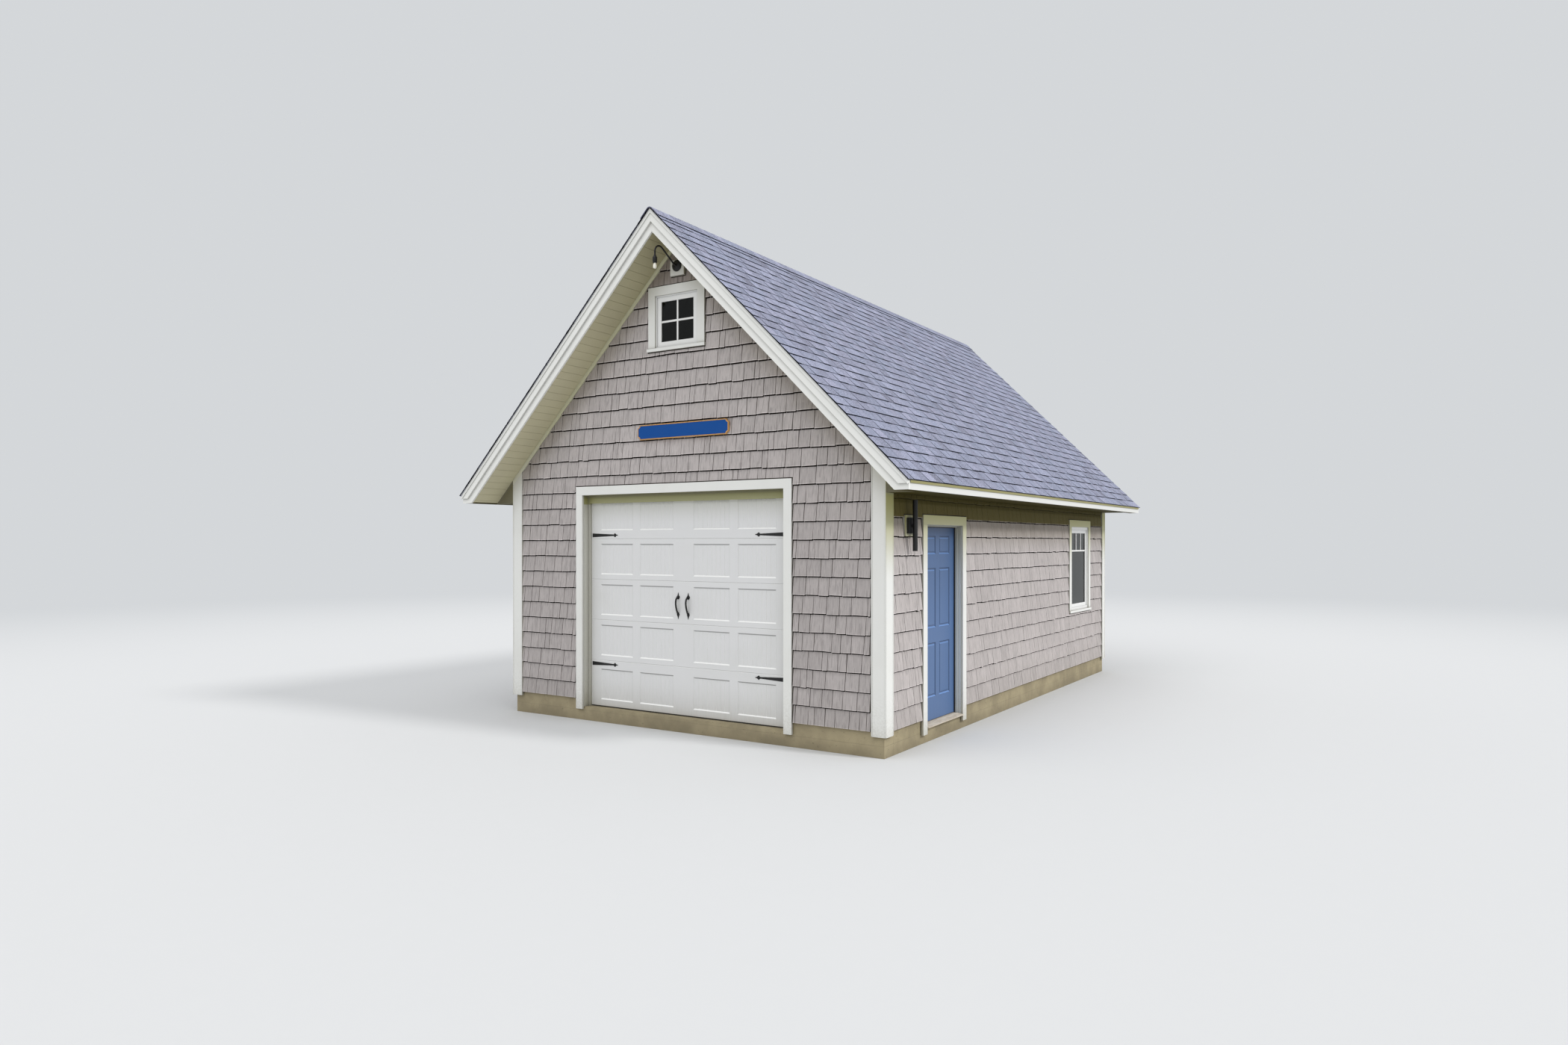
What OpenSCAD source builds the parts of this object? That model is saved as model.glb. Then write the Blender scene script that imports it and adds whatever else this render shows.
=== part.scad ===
// Small gable-roofed boathouse: a framed building on concrete stem walls,
// clad in stepped shake courses, with a sectional door in the front gable wall
// and a hinged side door. The front faces -Y, the side door is in the +X wall.
// The origin is the centre of the footprint at the lowest ground.

/* [Plan and levels] */
// Width of the building over its corner boards
body_w = 4950; // [4600:10:5800]
// Length of the building over its corner boards
body_l = 7380; // [7000:10:8600]
// Thickness of casings and corner boards on the sheathing
trim_t = 25; // [22:1:32]
// Thickness of a framed wall with its sheathing
wall_t = 115; // [100:5:150]
// Level of the wall plates, where the rafters sit
plate_z = 2838; // [2760:2:3000]
// Height of the concrete stem walls above the lowest ground
stem_h = 250; // [240:2:300]
// Thickness of the concrete stem walls
stem_t = 180; // [150:5:220]
// How far the stem walls stand back from the sheathing
stem_inset = 10; // [0:1:20]
// Level of the top of the floor slab
floor_z = 150; // [120:5:165]

/* [Roof] */
// Slope of the roof, in degrees
roof_pitch = 44.5; // [42:0.5:46]
// Depth of a rafter
rafter_d = 140; // [120:5:160]
// Thickness of a rafter
rafter_t = 38; // [30:1:50]
// Most that two rafters may be apart
rafter_pitch = 610; // [400:10:700]
// Length of the level seat cut where a rafter sits on the plate
rafter_seat = 75; // [60:5:90]
// Thickness of the roof sheathing
deck_t = 12; // [9:1:18]
// Gap between the ridge board and the peak of the soffits under it
ridge_board_gap = 6; // [2:1:20]
// How far the roof runs past the corner boards at the eaves, to the fascia face
eave_out = 417; // [380:1:450]
// How far the roof runs past the corner boards at the gables
rake_out = 400; // [300:5:450]
// Height of a rafter's tail at the fascia
tail_h = 86; // [80:1:100]
// Thickness of the fascia boards
fascia_t = 22; // [19:1:30]
// Thickness of the soffit boards
soffit_t = 10; // [6:1:14]
// Exposed length of one shingle course
shingle_step = 143; // [120:1:200]
// Thickness of a shingle course at its butt
shingle_butt = 14; // [10:1:20]
// Thickness of a shingle course where the next one covers it
shingle_head = 8; // [5:1:9]
// How far the shingles reach past the fascia and the rake strips
shingle_lip = 14; // [8:1:30]
// Length of a ridge cap down each slope
cap_leg = 150; // [120:5:180]
// Thickness of the ridge cap
cap_t = 10; // [6:1:14]

/* [Rake boards] */
// Height of the top strip, square to the slope
strip_w = 33; // [25:1:40]
// Height of the upper rake board, square to the slope
upper_w = 61; // [50:1:70]
// Height of the lower rake board, square to the slope
lower_w = 71; // [66:1:90]
// Thickness of the lower rake board
lower_t = 22; // [18:1:26]
// How far the upper rake board stands out past the lower one
upper_step = 20; // [10:1:26]
// How far the top strip stands out past the upper board
strip_step = 8; // [4:1:14]
// Width of the frieze boards under the rake soffits
frieze_w = 40; // [30:1:60]
// Thickness of the frieze boards
frieze_t = 25; // [22:1:30]

/* [Siding and trim] */
// Level of the butt edge of the lowest siding course
siding_z = 243; // [225:1:248]
// Exposed height of one siding course
siding_step = 178; // [150:1:200]
// Exposed height of one siding course on the side walls
side_step = 181; // [150:1:200]
// Thickness of a siding course at its butt
siding_butt = 18; // [14:1:20]
// Thickness of a siding course where the next one covers it
siding_head = 8; // [5:1:12]
// Width of a corner board on each face
corner_w = 155; // [130:1:180]
// Level of the bottom of the corner boards
corner_z = 200; // [150:1:220]
// Width of the casings round doors and windows
casing_w = 95; // [80:1:110]
// Joint left between siding, trim and casings
trim_gap = 2; // [1:0.5:4]

/* [Garage door] */
// Width of the doorway between the casings' inner edges
garage_w = 2700; // [2500:10:2900]
// Level of the casing's lower edge over the door
garage_head_z = 2522; // [2515:1:2560]
// Width of casing edge left uncovered by each jamb
jamb_reveal = 6; // [4:1:10]
// Thickness of the jamb boards
garage_jamb_t = 38; // [25:1:45]
// Width of the stops at the sides of the sectional door
garage_stop_w = 22; // [16:1:30]
// Height of the stop board over the sectional door
garage_stop_h = 85; // [50:1:90]
// Thickness of the stops
garage_stop_t = 30; // [20:1:36]
// Distance from the casing's face to the stops' face
garage_stop_in = 96; // [60:1:100]
// How far the jambs run past the framed wall, inside
jamb_past = 32; // [0:1:40]
// Height of each of the middle sections
section_h = 454; // [445:1:460]
// Height of the lowest section
bottom_section_h = 510; // [500:1:520]
// Gap between the highest section and the head jamb
head_gap = 4; // [3:1:10]
// Thickness of a section
section_t = 45; // [40:1:50]
// Height of the rubber seal under the lowest section
seal_h = 12; // [8:1:12]
// Width of one recessed panel
panel_w = 475; // [420:1:490]
// Height of one recessed panel
panel_h = 342; // [300:1:350]
// Distance of the panels from the joint in the lowest and the highest section
end_rail = 96; // [80:1:110]
// Width of the middle stile of the sectional door
mid_stile = 268; // [200:1:300]
// Width of the stile between two panels on one side
side_stile = 100; // [80:1:120]
// Depth of the recessed panels
panel_in = 8; // [5:1:10]
// Width of the bevel round a recessed panel
panel_bevel = 12; // [8:1:18]
// Bevel along the joints between two sections
joint_bevel = 3; // [1:0.5:5]
// Number of grooves in one recessed panel
panel_grooves = 7; // [3:1:9]
// Length of a strap on the sectional door
strap_l = 385; // [300:5:420]
// Height of a strap at its root
strap_h = 44; // [36:1:50]
// Thickness of straps and handle plates
strap_t = 4; // [3:0.5:6]
// Distance of a strap from the nearest joint between two sections
strap_in = 40; // [36:1:60]
// Length of a pull handle over its tips
pull_l = 285; // [240:1:300]
// Distance of a pull handle from the door's middle
pull_x = 68; // [50:1:90]
// Height of the pulls' middle over the joint under them
pull_up = 194; // [160:1:280]
// How far a pull's grip stands off the door
pull_bow = 42; // [34:1:50]
// Radius of a pull's grip
grip_r = 9.5; // [7:0.5:10]

/* [Side door] */
// Distance from the front corner to the middle of the side door
side_door_y = 1342; // [1200:1:1500]
// Width of the side door's leaf
leaf_w = 864; // [762:1:914]
// Height of the side door's leaf
leaf_h = 1980; // [1950:1:1985]
// Thickness of the side door's leaf
leaf_t = 44; // [40:1:46]
// Gap round the leaf
leaf_gap = 7; // [6:0.5:9]
// Thickness of the side door's jambs
jamb_t = 19; // [16:1:25]
// Thickness of the stop bead on the jambs
stop_t = 12; // [10:1:14]
// Width of the stop bead on the jambs
stop_w = 34; // [25:1:40]
// Width of the leaf's stiles
stile_w = 127; // [110:1:140]
// Width of the mullion between the leaf's panels
mullion_w = 88; // [70:1:110]
// Height of the leaf's bottom rail
bottom_rail = 235; // [200:1:250]
// Height of the leaf's bottom panels
bottom_panel = 552; // [500:1:580]
// Height of the leaf's lock rail
lock_rail = 155; // [130:1:180]
// Height of the leaf's middle panels
middle_panel = 610; // [560:1:640]
// Height of the rail between the middle and the top panels
upper_rail = 144; // [110:1:150]
// Height of the leaf's top rail
top_rail = 98; // [90:1:120]
// Distance of the knobs' axis from the leaf's edge
knob_in = 60; // [58:1:72]
// Radius of the knobs
knob_r = 25; // [22:1:28]
// How far a knob stands out from the leaf
knob_out = 52; // [46:1:60]
// Radius of the knobs' roses
rose_r = 33; // [31:1:36]
// Radius of the bore through the leaf for the knobs
knob_bore_r = 27; // [24:1:27]
// Height of the threshold above the floor slab
threshold_h = 22; // [18:1:24]
// Radius of the hinge knuckles
knuckle_r = 7; // [6.5:0.5:9]
// Radius of the hinge pins
hinge_pin_r = 3; // [2.5:0.5:4]
// Running clearance between a hinge pin and its knuckle
pin_clear = 0.1; // [0.05:0.05:0.1]
// Length of one hinge
hinge_l = 89; // [76:1:102]
// Thickness of a hinge leaf
hinge_t = 2.5; // [2:0.5:3]

/* [Windows] */
// Distance from the front corner to the middle of the side window
side_window_y = 6079; // [5600:1:6150]
// Width of the side window over its casing
side_window_w = 1013; // [900:1:1100]
// Level of the bottom of the side window's casing
side_window_z = 1001; // [900:1:1100]
// Height of the side window over its casing
side_window_h = 1308; // [1200:1:1360]
// Width of the gable window over its casing
gable_window_w = 756; // [700:1:860]
// Distance from the roof's peak down to the bottom of the gable window's casing
gable_window_drop = 1363; // [1340:1:1480]
// Height of the gable window over its casing
gable_window_h = 685; // [600:1:720]
// Height of the sill board under a window
sill_h = 32; // [25:1:45]
// Width of the side window's fixed frame
side_frame_w = 36; // [20:1:45]
// Width of the gable window's fixed frame
gable_frame_w = 14; // [10:1:30]
// Width of the sash round the glass
sash_w = 52; // [40:1:60]
// Width of the glazing bars
bar_w = 20; // [14:1:28]
// Thickness of the glass
glass_t = 6; // [4:1:8]
// Distance of the glass behind the window frame's face
glass_in = 24; // [20:1:30]
// Distance of a window frame's face behind its casing
window_in = 14; // [10:1:20]
// Depth of a window's frame
window_depth = 70; // [60:1:76]
// How far the sill board's ends reach past the casing
sill_horn = 10; // [6:1:14]
// How far the sill board stands out from the casing
sill_nose = 14; // [10:1:20]

/* [Lights and name board] */
// Offset of the gooseneck lamp from the gable's middle
lamp_x = 27; // [-100:1:100]
// Distance from the roof's peak down to the middle of the lamp's mounting block
lamp_drop = 514; // [500:1:540]
// Width of the lamp's mounting block
lamp_block_w = 180; // [150:1:200]
// Height of the lamp's mounting block
lamp_block_h = 165; // [150:1:175]
// Radius of the lamp's wall cup
lamp_cup_r = 60; // [50:1:64]
// Reach of the gooseneck from the block to the socket
lamp_reach = 350; // [280:1:370]
// Radius of the gooseneck tube
lamp_tube_r = 11; // [8:1:12]
// Angle at which the gooseneck rises from its first bend
rise_angle = 30; // [24:1:34]
// Radius of the gooseneck's first bend
first_bend_r = 80; // [70:1:90]
// Radius of the gooseneck's bow
bow_r = 75; // [70:1:82]
// Length of the straight end of the gooseneck over the socket
neck_drop = 46; // [36:1:56]
// Length of the lamp's socket
socket_l = 70; // [60:1:80]
// Radius of the lamp's socket
socket_r = 21; // [18:1:24]
// Distance from the front corner to the wall light's axis
sconce_y = 477; // [380:1:520]
// Level of the middle of the wall light
sconce_z = 2154; // [2050:1:2180]
// Width of the wall light's mounting block
sconce_block_w = 180; // [150:1:200]
// Height of the wall light's mounting block
sconce_block_h = 200; // [170:1:230]
// Radius of the wall light
sconce_r = 24; // [18:1:32]
// Length of the wall light
sconce_l = 486; // [400:1:500]
// Distance from the casing face to the wall light's axis
sconce_out = 66; // [60:1:90]
// Width and height of the wall light's housing
sconce_plate = 150; // [120:1:160]
// Depth of the wall light's housing
sconce_plate_t = 24; // [16:1:26]
// Width of the name board
board_w = 1211; // [900:1:1300]
// Height of the name board
board_h = 159; // [120:1:200]
// Thickness of the name board
board_t = 25; // [18:1:32]
// Offset of the name board from the gable's middle
board_x = 92; // [0:1:150]
// Distance from the garage door's casing up to the middle of the name board
board_rise = 553; // [450:1:680]
// Radius of the name board's scooped corners
board_scoop = 28; // [16:1:40]

/* [Hidden] */

$fn = 48;
eps = 1;
slack = 0.3;

trim_color = [0.89, 0.89, 0.88];
siding_color = [0.72, 0.69, 0.68];
roof_color = [0.42, 0.43, 0.50];
concrete_color = [0.62, 0.59, 0.52];
lumber_color = [0.78, 0.66, 0.48];
black_color = [0.08, 0.08, 0.09];
blue_color = [0.31, 0.45, 0.67];
board_color = [0.02, 0.30, 0.58];
glass_color = [0.30, 0.36, 0.36, 0.5];
rubber_color = [0.10, 0.10, 0.10];

// Faces of the building, measured from its middle
face_x = body_w / 2;
face_y = body_l / 2;
wall_x = face_x - trim_t;
wall_y = face_y - trim_t;
in_x = wall_x - wall_t;
in_y = wall_y - wall_t;
stem_x = wall_x - stem_inset;
stem_y = wall_y - stem_inset;

// Slope of the roof
slope = tan(roof_pitch);
plumb = 1 / cos(roof_pitch);
ridge_z = plate_z + slope * (wall_x - rafter_seat) + (rafter_d + deck_t) * plumb;
gable_window_z = ridge_z - gable_window_drop;
lamp_z = ridge_z - lamp_drop;
board_z = garage_head_z + casing_w + board_rise;
tail_x = face_x + eave_out - fascia_t;
fascia_x = face_x + eave_out;
tail_z = roof_z(tail_x, deck_t) - tail_h;
rake_back_y = face_y + rake_out - lower_t - upper_step;
slope_len = fascia_x * plumb;

// Level of a plane that lies depth below the sheathing's top, square to the slope
function roof_z(x, depth) = ridge_z - slope * x - depth * plumb;

// Distance from the ridge at which that plane reaches a level
function roof_x(z, depth) = (ridge_z - depth * plumb - z) / slope;

// Outline of a board that follows the slope between two depths, cut plumb at the
// ridge and at its lower end, and cut level where it reaches the given level
function slope_band(d0, d1, x_in, x_out, level) =
    roof_z(x_out, d1) >= level
    ? [[x_in, roof_z(x_in, d0)], [x_out, roof_z(x_out, d0)],
       [x_out, roof_z(x_out, d1)], [x_in, roof_z(x_in, d1)]]
    : [[x_in, roof_z(x_in, d0)], [x_out, roof_z(x_out, d0)],
       [x_out, level], [roof_x(level, d1), level], [x_in, roof_z(x_in, d1)]];

// Raises a plan of X and Z along Y, from y0 to y1
module along_y(y0, y1) {
    translate([0, y1, 0]) rotate([90, 0, 0]) linear_extrude(y1 - y0) children();
}

// Raises a plan of Y and Z along X, from x0 to x1
module along_x(x0, x1) {
    translate([x0, 0, 0]) rotate([90, 0, 90]) linear_extrude(x1 - x0) children();
}

module box(low, high) {
    translate(low) cube(high - low);
}

module both_x() {
    children();
    mirror([1, 0, 0]) children();
}

module both_y() {
    children();
    mirror([0, 1, 0]) children();
}

module rectangle(low, high) {
    translate(low) square(high - low);
}

// Doorways and windows, as places on the walls
garage_half = garage_w / 2;
garage_jamb_x = garage_half - jamb_reveal;
garage_rough_x = garage_jamb_x + garage_jamb_t;
garage_jamb_z = garage_head_z - jamb_reveal;
garage_rough_z = garage_jamb_z + garage_jamb_t;
door_y = -face_y + side_door_y;
leaf_z = floor_z + threshold_h + leaf_gap;
leaf_top = leaf_z + leaf_h;
side_jamb_half = leaf_w / 2 + leaf_gap;
side_rough_half = side_jamb_half + jamb_t;
side_jamb_z = leaf_top + leaf_gap;
side_rough_z = side_jamb_z + jamb_t;
side_casing_half = side_jamb_half + jamb_reveal;
side_casing_z = side_jamb_z + jamb_reveal;
window_y = -face_y + side_window_y;
gable_top = gable_window_z + gable_window_h;
side_top = side_window_z + side_window_h;
side_open_half = side_window_w / 2 - casing_w;
gable_open_half = gable_window_w / 2 - casing_w;

module stem_walls() {
    color(concrete_color) {
        // Front wall in two lengths beside the garage doorway
        both_x() box([garage_rough_x, -stem_y, 0], [stem_x, -stem_y + stem_t, stem_h]);
        // Back wall
        box([-stem_x, stem_y - stem_t, 0], [stem_x, stem_y, stem_h]);
        // Left wall, a hairline joint away from the front and back walls
        box([-stem_x, -stem_y + stem_t + eps, 0], [-stem_x + stem_t, stem_y - stem_t - eps, stem_h]);
        // Right wall in two lengths beside the side doorway
        box([stem_x - stem_t, -stem_y + stem_t + eps, 0], [stem_x, door_y - side_rough_half, stem_h]);
        box([stem_x - stem_t, door_y + side_rough_half, 0], [stem_x, stem_y - stem_t - eps, stem_h]);
    }
}

module floor_slab() {
    inner_x = stem_x - stem_t;
    inner_y = stem_y - stem_t;
    color(concrete_color) {
        box([-inner_x, -inner_y, 0], [inner_x, inner_y, floor_z]);
        box([-garage_rough_x, -stem_y, 0], [garage_rough_x, -inner_y, floor_z]);
        box([inner_x, door_y - side_rough_half, 0], [stem_x, door_y + side_rough_half, floor_z]);
    }
}

module front_wall_left() {
    color(lumber_color) box([-wall_x, -wall_y, stem_h], [-garage_rough_x, -in_y, garage_rough_z]);
}

module front_wall_right() {
    color(lumber_color) box([garage_rough_x, -wall_y, stem_h], [wall_x, -in_y, garage_rough_z]);
}

// Outline of a gable wall above a level, up to the underside of the sheathing,
// with a hole for the gable window
module gable_outline(level) {
    difference() {
        polygon([[-wall_x, level], [wall_x, level], [wall_x, roof_z(wall_x, deck_t + slack)],
                 [0, roof_z(0, deck_t + slack)], [-wall_x, roof_z(wall_x, deck_t + slack)]]);
        rectangle([-gable_open_half, gable_window_z + sill_h], [gable_open_half, gable_top - casing_w]);
    }
}

module front_gable_wall() {
    color(lumber_color) along_y(-wall_y, -in_y) gable_outline(garage_rough_z);
}

module back_wall() {
    color(lumber_color) along_y(in_y, wall_y) gable_outline(stem_h);
}

module right_wall_front() {
    color(lumber_color) box([in_x, -in_y, stem_h], [wall_x, door_y - side_rough_half, plate_z]);
}

module right_wall_over_door() {
    color(lumber_color)
        box([in_x, door_y - side_rough_half, side_rough_z], [wall_x, door_y + side_rough_half, plate_z]);
}

// Hole for the side window, through anything between two X values
module side_window_hole(x0, x1, spread) {
    box([x0, window_y - side_open_half - spread, side_window_z + sill_h - spread],
        [x1, window_y + side_open_half + spread, side_top - casing_w + spread]);
}

module right_wall_rear() {
    color(lumber_color) difference() {
        box([in_x, door_y + side_rough_half, stem_h], [wall_x, in_y, plate_z]);
        side_window_hole(in_x - eps, wall_x + eps, 0);
    }
}

module left_wall() {
    color(lumber_color) difference() {
        box([-wall_x, -in_y, stem_h], [-in_x, in_y, plate_z]);
        side_window_hole(-wall_x - eps, -in_x + eps, 0);
    }
}

// Section through the siding: stacked courses that thicken to their butts
function siding_section(count, step) = concat(
    [[0, siding_z]],
    [for (i = [0 : count - 1]) each [
        [siding_butt, siding_z + i * step],
        [siding_head, siding_z + (i + 1) * step]
    ]],
    [[0, siding_z + count * step]]
);

gable_courses = ceil((ridge_z - siding_z) / siding_step);
side_courses = ceil((tail_z - siding_z) / side_step);
siding_half_x = face_x - corner_w - trim_gap;
siding_half_y = face_y - corner_w - trim_gap;

// Depths of the rafters' undersides and of the rake soffit's faces, square to the slope
rake_frame_d = deck_t + rafter_d;
rake_soffit_top = rake_frame_d + slack;
rake_soffit_d = rake_soffit_top + soffit_t;
frieze_d = rake_soffit_d + frieze_w;
soffit_z = tail_z - soffit_t;

// Siding of a gable wall that faces -Y
module gable_siding() {
    intersection() {
        translate([-siding_half_x, -wall_y, 0]) rotate([90, 0, 90]) mirror([1, 0, 0])
            linear_extrude(2 * siding_half_x) polygon(siding_section(gable_courses, siding_step));
        along_y(-face_y, -wall_y) difference() {
            polygon([[-siding_half_x, 0], [siding_half_x, 0],
                     [siding_half_x, roof_z(siding_half_x, frieze_d) - trim_gap],
                     [0, roof_z(0, frieze_d) - trim_gap],
                     [-siding_half_x, roof_z(siding_half_x, frieze_d) - trim_gap]]);
            rectangle([-gable_window_w / 2 - trim_gap, gable_window_z - trim_gap],
                      [gable_window_w / 2 + trim_gap, gable_top + trim_gap]);
        }
    }
}

module front_siding() {
    half = garage_half + casing_w + trim_gap;
    color(siding_color) difference() {
        gable_siding();
        box([-half, -face_y - eps, 0], [half, -wall_y + eps, garage_head_z + casing_w + trim_gap]);
        box([lamp_x - lamp_block_w / 2 - trim_gap, -face_y - eps, lamp_z - lamp_block_h / 2 - trim_gap],
            [lamp_x + lamp_block_w / 2 + trim_gap, -wall_y + eps, lamp_z + lamp_block_h / 2 + trim_gap]);
    }
}

module back_siding() {
    color(siding_color) mirror([0, 1, 0]) gable_siding();
}

// Siding of the wall that faces +X, whole, with the window's hole
module side_siding() {
    difference() {
        intersection() {
            translate([wall_x, siding_half_y, 0]) rotate([90, 0, 0])
                linear_extrude(2 * siding_half_y) polygon(siding_section(side_courses, side_step));
            box([wall_x, -siding_half_y, 0], [face_x, siding_half_y, soffit_z - slack]);
        }
        box([wall_x - eps, window_y - side_window_w / 2 - trim_gap, side_window_z - trim_gap],
            [face_x + eps, window_y + side_window_w / 2 + trim_gap, side_top + trim_gap]);
    }
}

module right_siding() {
    half = side_casing_half + casing_w + trim_gap;
    half_w = sconce_block_w / 2 + trim_gap;
    half_h = sconce_block_h / 2 + trim_gap;
    color(siding_color) difference() {
        side_siding();
        box([wall_x - eps, door_y - half, 0],
            [face_x + eps, door_y + half, side_casing_z + casing_w + trim_gap]);
        box([wall_x - eps, -face_y + sconce_y - half_w, sconce_z - half_h],
            [face_x + eps, -face_y + sconce_y + half_w, sconce_z + half_h]);
    }
}

module left_siding() {
    color(siding_color) mirror([1, 0, 0]) side_siding();
}

// Corner boards: the gable leg runs up to the rake frieze, the side leg to the soffit
module corner_board() {
    inner = face_x - corner_w;
    along_y(-face_y, -wall_y) polygon([
        [inner, corner_z], [face_x, corner_z],
        [face_x, roof_z(face_x, frieze_d) - slack], [inner, roof_z(inner, frieze_d) - slack]]);
    box([wall_x, -wall_y, corner_z], [face_x, -face_y + corner_w, soffit_z - slack]);
}

module corner_boards() {
    color(trim_color) both_x() both_y() corner_board();
}

// Boards on the gable walls just under the rake soffits, and the panels that close
// the eave boxes beside the gable walls
module frieze_boards() {
    end_x = face_x + trim_gap;
    color(trim_color) {
        both_x() both_y() along_y(-wall_y - frieze_t, -wall_y) {
            polygon(slope_band(rake_soffit_d + slack, frieze_d, slack, face_x, 0));
            polygon([[end_x, soffit_z], [roof_x(soffit_z, rake_soffit_d + slack), soffit_z],
                     [end_x, roof_z(end_x, rake_soffit_d + slack)]]);
        }
    }
}

// Outline of a rafter with its plumb cuts, level tail cut and seat cut
module rafter_outline(x_in, seated) {
    band = slope_band(deck_t + slack, rake_frame_d, x_in, tail_x, tail_z);
    difference() {
        polygon(band);
        if (seated) rectangle([wall_x - rafter_seat, plate_z - rafter_d], [wall_x, plate_z]);
    }
}

ridge_half = rafter_t / 2;
first_rafter_y = in_y - rafter_t / 2;
rafter_bays = ceil(2 * first_rafter_y / rafter_pitch);
rafter_step = 2 * first_rafter_y / rafter_bays;
fly_rafter_y = rake_back_y - rafter_t / 2;

module rafters() {
    color(lumber_color) both_x() {
        for (i = [0 : rafter_bays]) {
            y = -first_rafter_y + i * rafter_step;
            along_y(y - rafter_t / 2, y + rafter_t / 2) rafter_outline(ridge_half + slack, true);
        }
        for (y = [-fly_rafter_y, fly_rafter_y])
            along_y(y - rafter_t / 2, y + rafter_t / 2) rafter_outline(ridge_half + slack, false);
    }
}

module ridge_board() {
    top = roof_z(ridge_half, deck_t) - slack;
    low = roof_z(0, rake_frame_d) + ridge_board_gap;
    color(lumber_color) difference() {
        box([-ridge_half, -rake_back_y, low], [ridge_half, rake_back_y, top]);
        both_y() box([-ridge_half - eps, -wall_y, low - eps], [ridge_half + eps, -in_y, top + eps]);
    }
}

module roof_sheathing() {
    color(lumber_color) both_x() along_y(-rake_back_y, rake_back_y)
        polygon(slope_band(0, deck_t, slack, tail_x, 0));
}

// Section through the shingles in slope lengths: the ridge is at 0, each course
// starts at its butt and runs up under the next one
shingle_len = slope_len + shingle_lip;
shingle_courses = floor(shingle_len / shingle_step);
function shingle_section() = concat(
    [[0, 0], [shingle_len, 0]],
    [for (i = [0 : shingle_courses - 1]) each [
        [shingle_len - i * shingle_step, shingle_butt],
        [shingle_len - (i + 1) * shingle_step, shingle_head]
    ]],
    [[shingle_len - shingle_courses * shingle_step, shingle_butt], [0, shingle_head + 2]]
);

shingle_y = face_y + rake_out + strip_step + shingle_lip;

// Moves a plan of slope length and height onto the slope on the +X side
module on_slope() {
    translate([0, ridge_z]) rotate(-roof_pitch) translate([0, slack]) children();
}

module roof_shingles() {
    color(roof_color) both_x() along_y(-shingle_y, shingle_y) on_slope() polygon(shingle_section());
}

// Ridge cap: two legs that lie on the top courses and meet over the ridge
module ridge_cap() {
    rest = shingle_butt + 2 * slack;
    half = (rest + cap_t) * sin(roof_pitch);
    color(roof_color) along_y(-shingle_y, shingle_y) polygon([
        [0, ridge_z + rest * plumb],
        [cap_leg * cos(roof_pitch) + rest * sin(roof_pitch),
         ridge_z + rest * cos(roof_pitch) - cap_leg * sin(roof_pitch)],
        [cap_leg * cos(roof_pitch) + half,
         ridge_z + (rest + cap_t) * cos(roof_pitch) - cap_leg * sin(roof_pitch)],
        [0, ridge_z + (rest + cap_t) * plumb],
        [-cap_leg * cos(roof_pitch) - half,
         ridge_z + (rest + cap_t) * cos(roof_pitch) - cap_leg * sin(roof_pitch)],
        [-cap_leg * cos(roof_pitch) - rest * sin(roof_pitch),
         ridge_z + rest * cos(roof_pitch) - cap_leg * sin(roof_pitch)]
    ]);
}

// Rake boards of the front gable: strip, upper board and lower board on one backing
module rake_boards() {
    mitre = slack;
    y_lower = -rake_back_y - lower_t;
    y_upper = y_lower - upper_step;
    y_strip = y_upper - strip_step;
    d1 = strip_w + upper_w;
    both_x() {
        along_y(y_strip, y_upper) polygon(slope_band(0, strip_w, mitre, fascia_x, 0));
        along_y(y_upper, y_lower) polygon(slope_band(0, d1, mitre, fascia_x, tail_z + tail_h / 2));
        along_y(y_lower, -rake_back_y) polygon(slope_band(0, d1 + lower_w, mitre, fascia_x, soffit_z));
    }
}

module front_rake_boards() {
    color(trim_color) rake_boards();
}

module back_rake_boards() {
    color(trim_color) mirror([0, 1, 0]) rake_boards();
}

// Fascias at the eaves, with a drip strip along their top edge
module eave_fascias() {
    top = roof_z(fascia_x, 0);
    color(trim_color) both_x() along_y(-rake_back_y + slack, rake_back_y - slack) {
        polygon([[tail_x, soffit_z], [fascia_x, soffit_z], [fascia_x, top], [tail_x, roof_z(tail_x, 0)]]);
        rectangle([fascia_x - eps, top - strip_w], [fascia_x + strip_step, top - slope * strip_step]);
    }
}

// Level soffits: full width beside the walls, and only the eave's own strip past them
module eave_soffits() {
    strip_x = roof_x(tail_z, rake_frame_d) + slack;
    color(trim_color) both_x() {
        box([wall_x + slack, -wall_y + slack, soffit_z], [tail_x - slack, wall_y - slack, tail_z]);
        box([strip_x, -rake_back_y + slack, soffit_z], [tail_x - slack, rake_back_y - slack, tail_z]);
    }
}

// Soffits under the rake overhangs, between the gable wall and the rake boards
module rake_soffits() {
    end_x = roof_x(tail_z + soffit_t / 2, rake_soffit_top);
    color(trim_color) both_x() both_y() along_y(-rake_back_y + slack, -wall_y - slack)
        polygon(slope_band(rake_soffit_top, rake_soffit_d, slack, end_x, tail_z + slack));
}

jamb_face_y = -wall_y;

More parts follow.
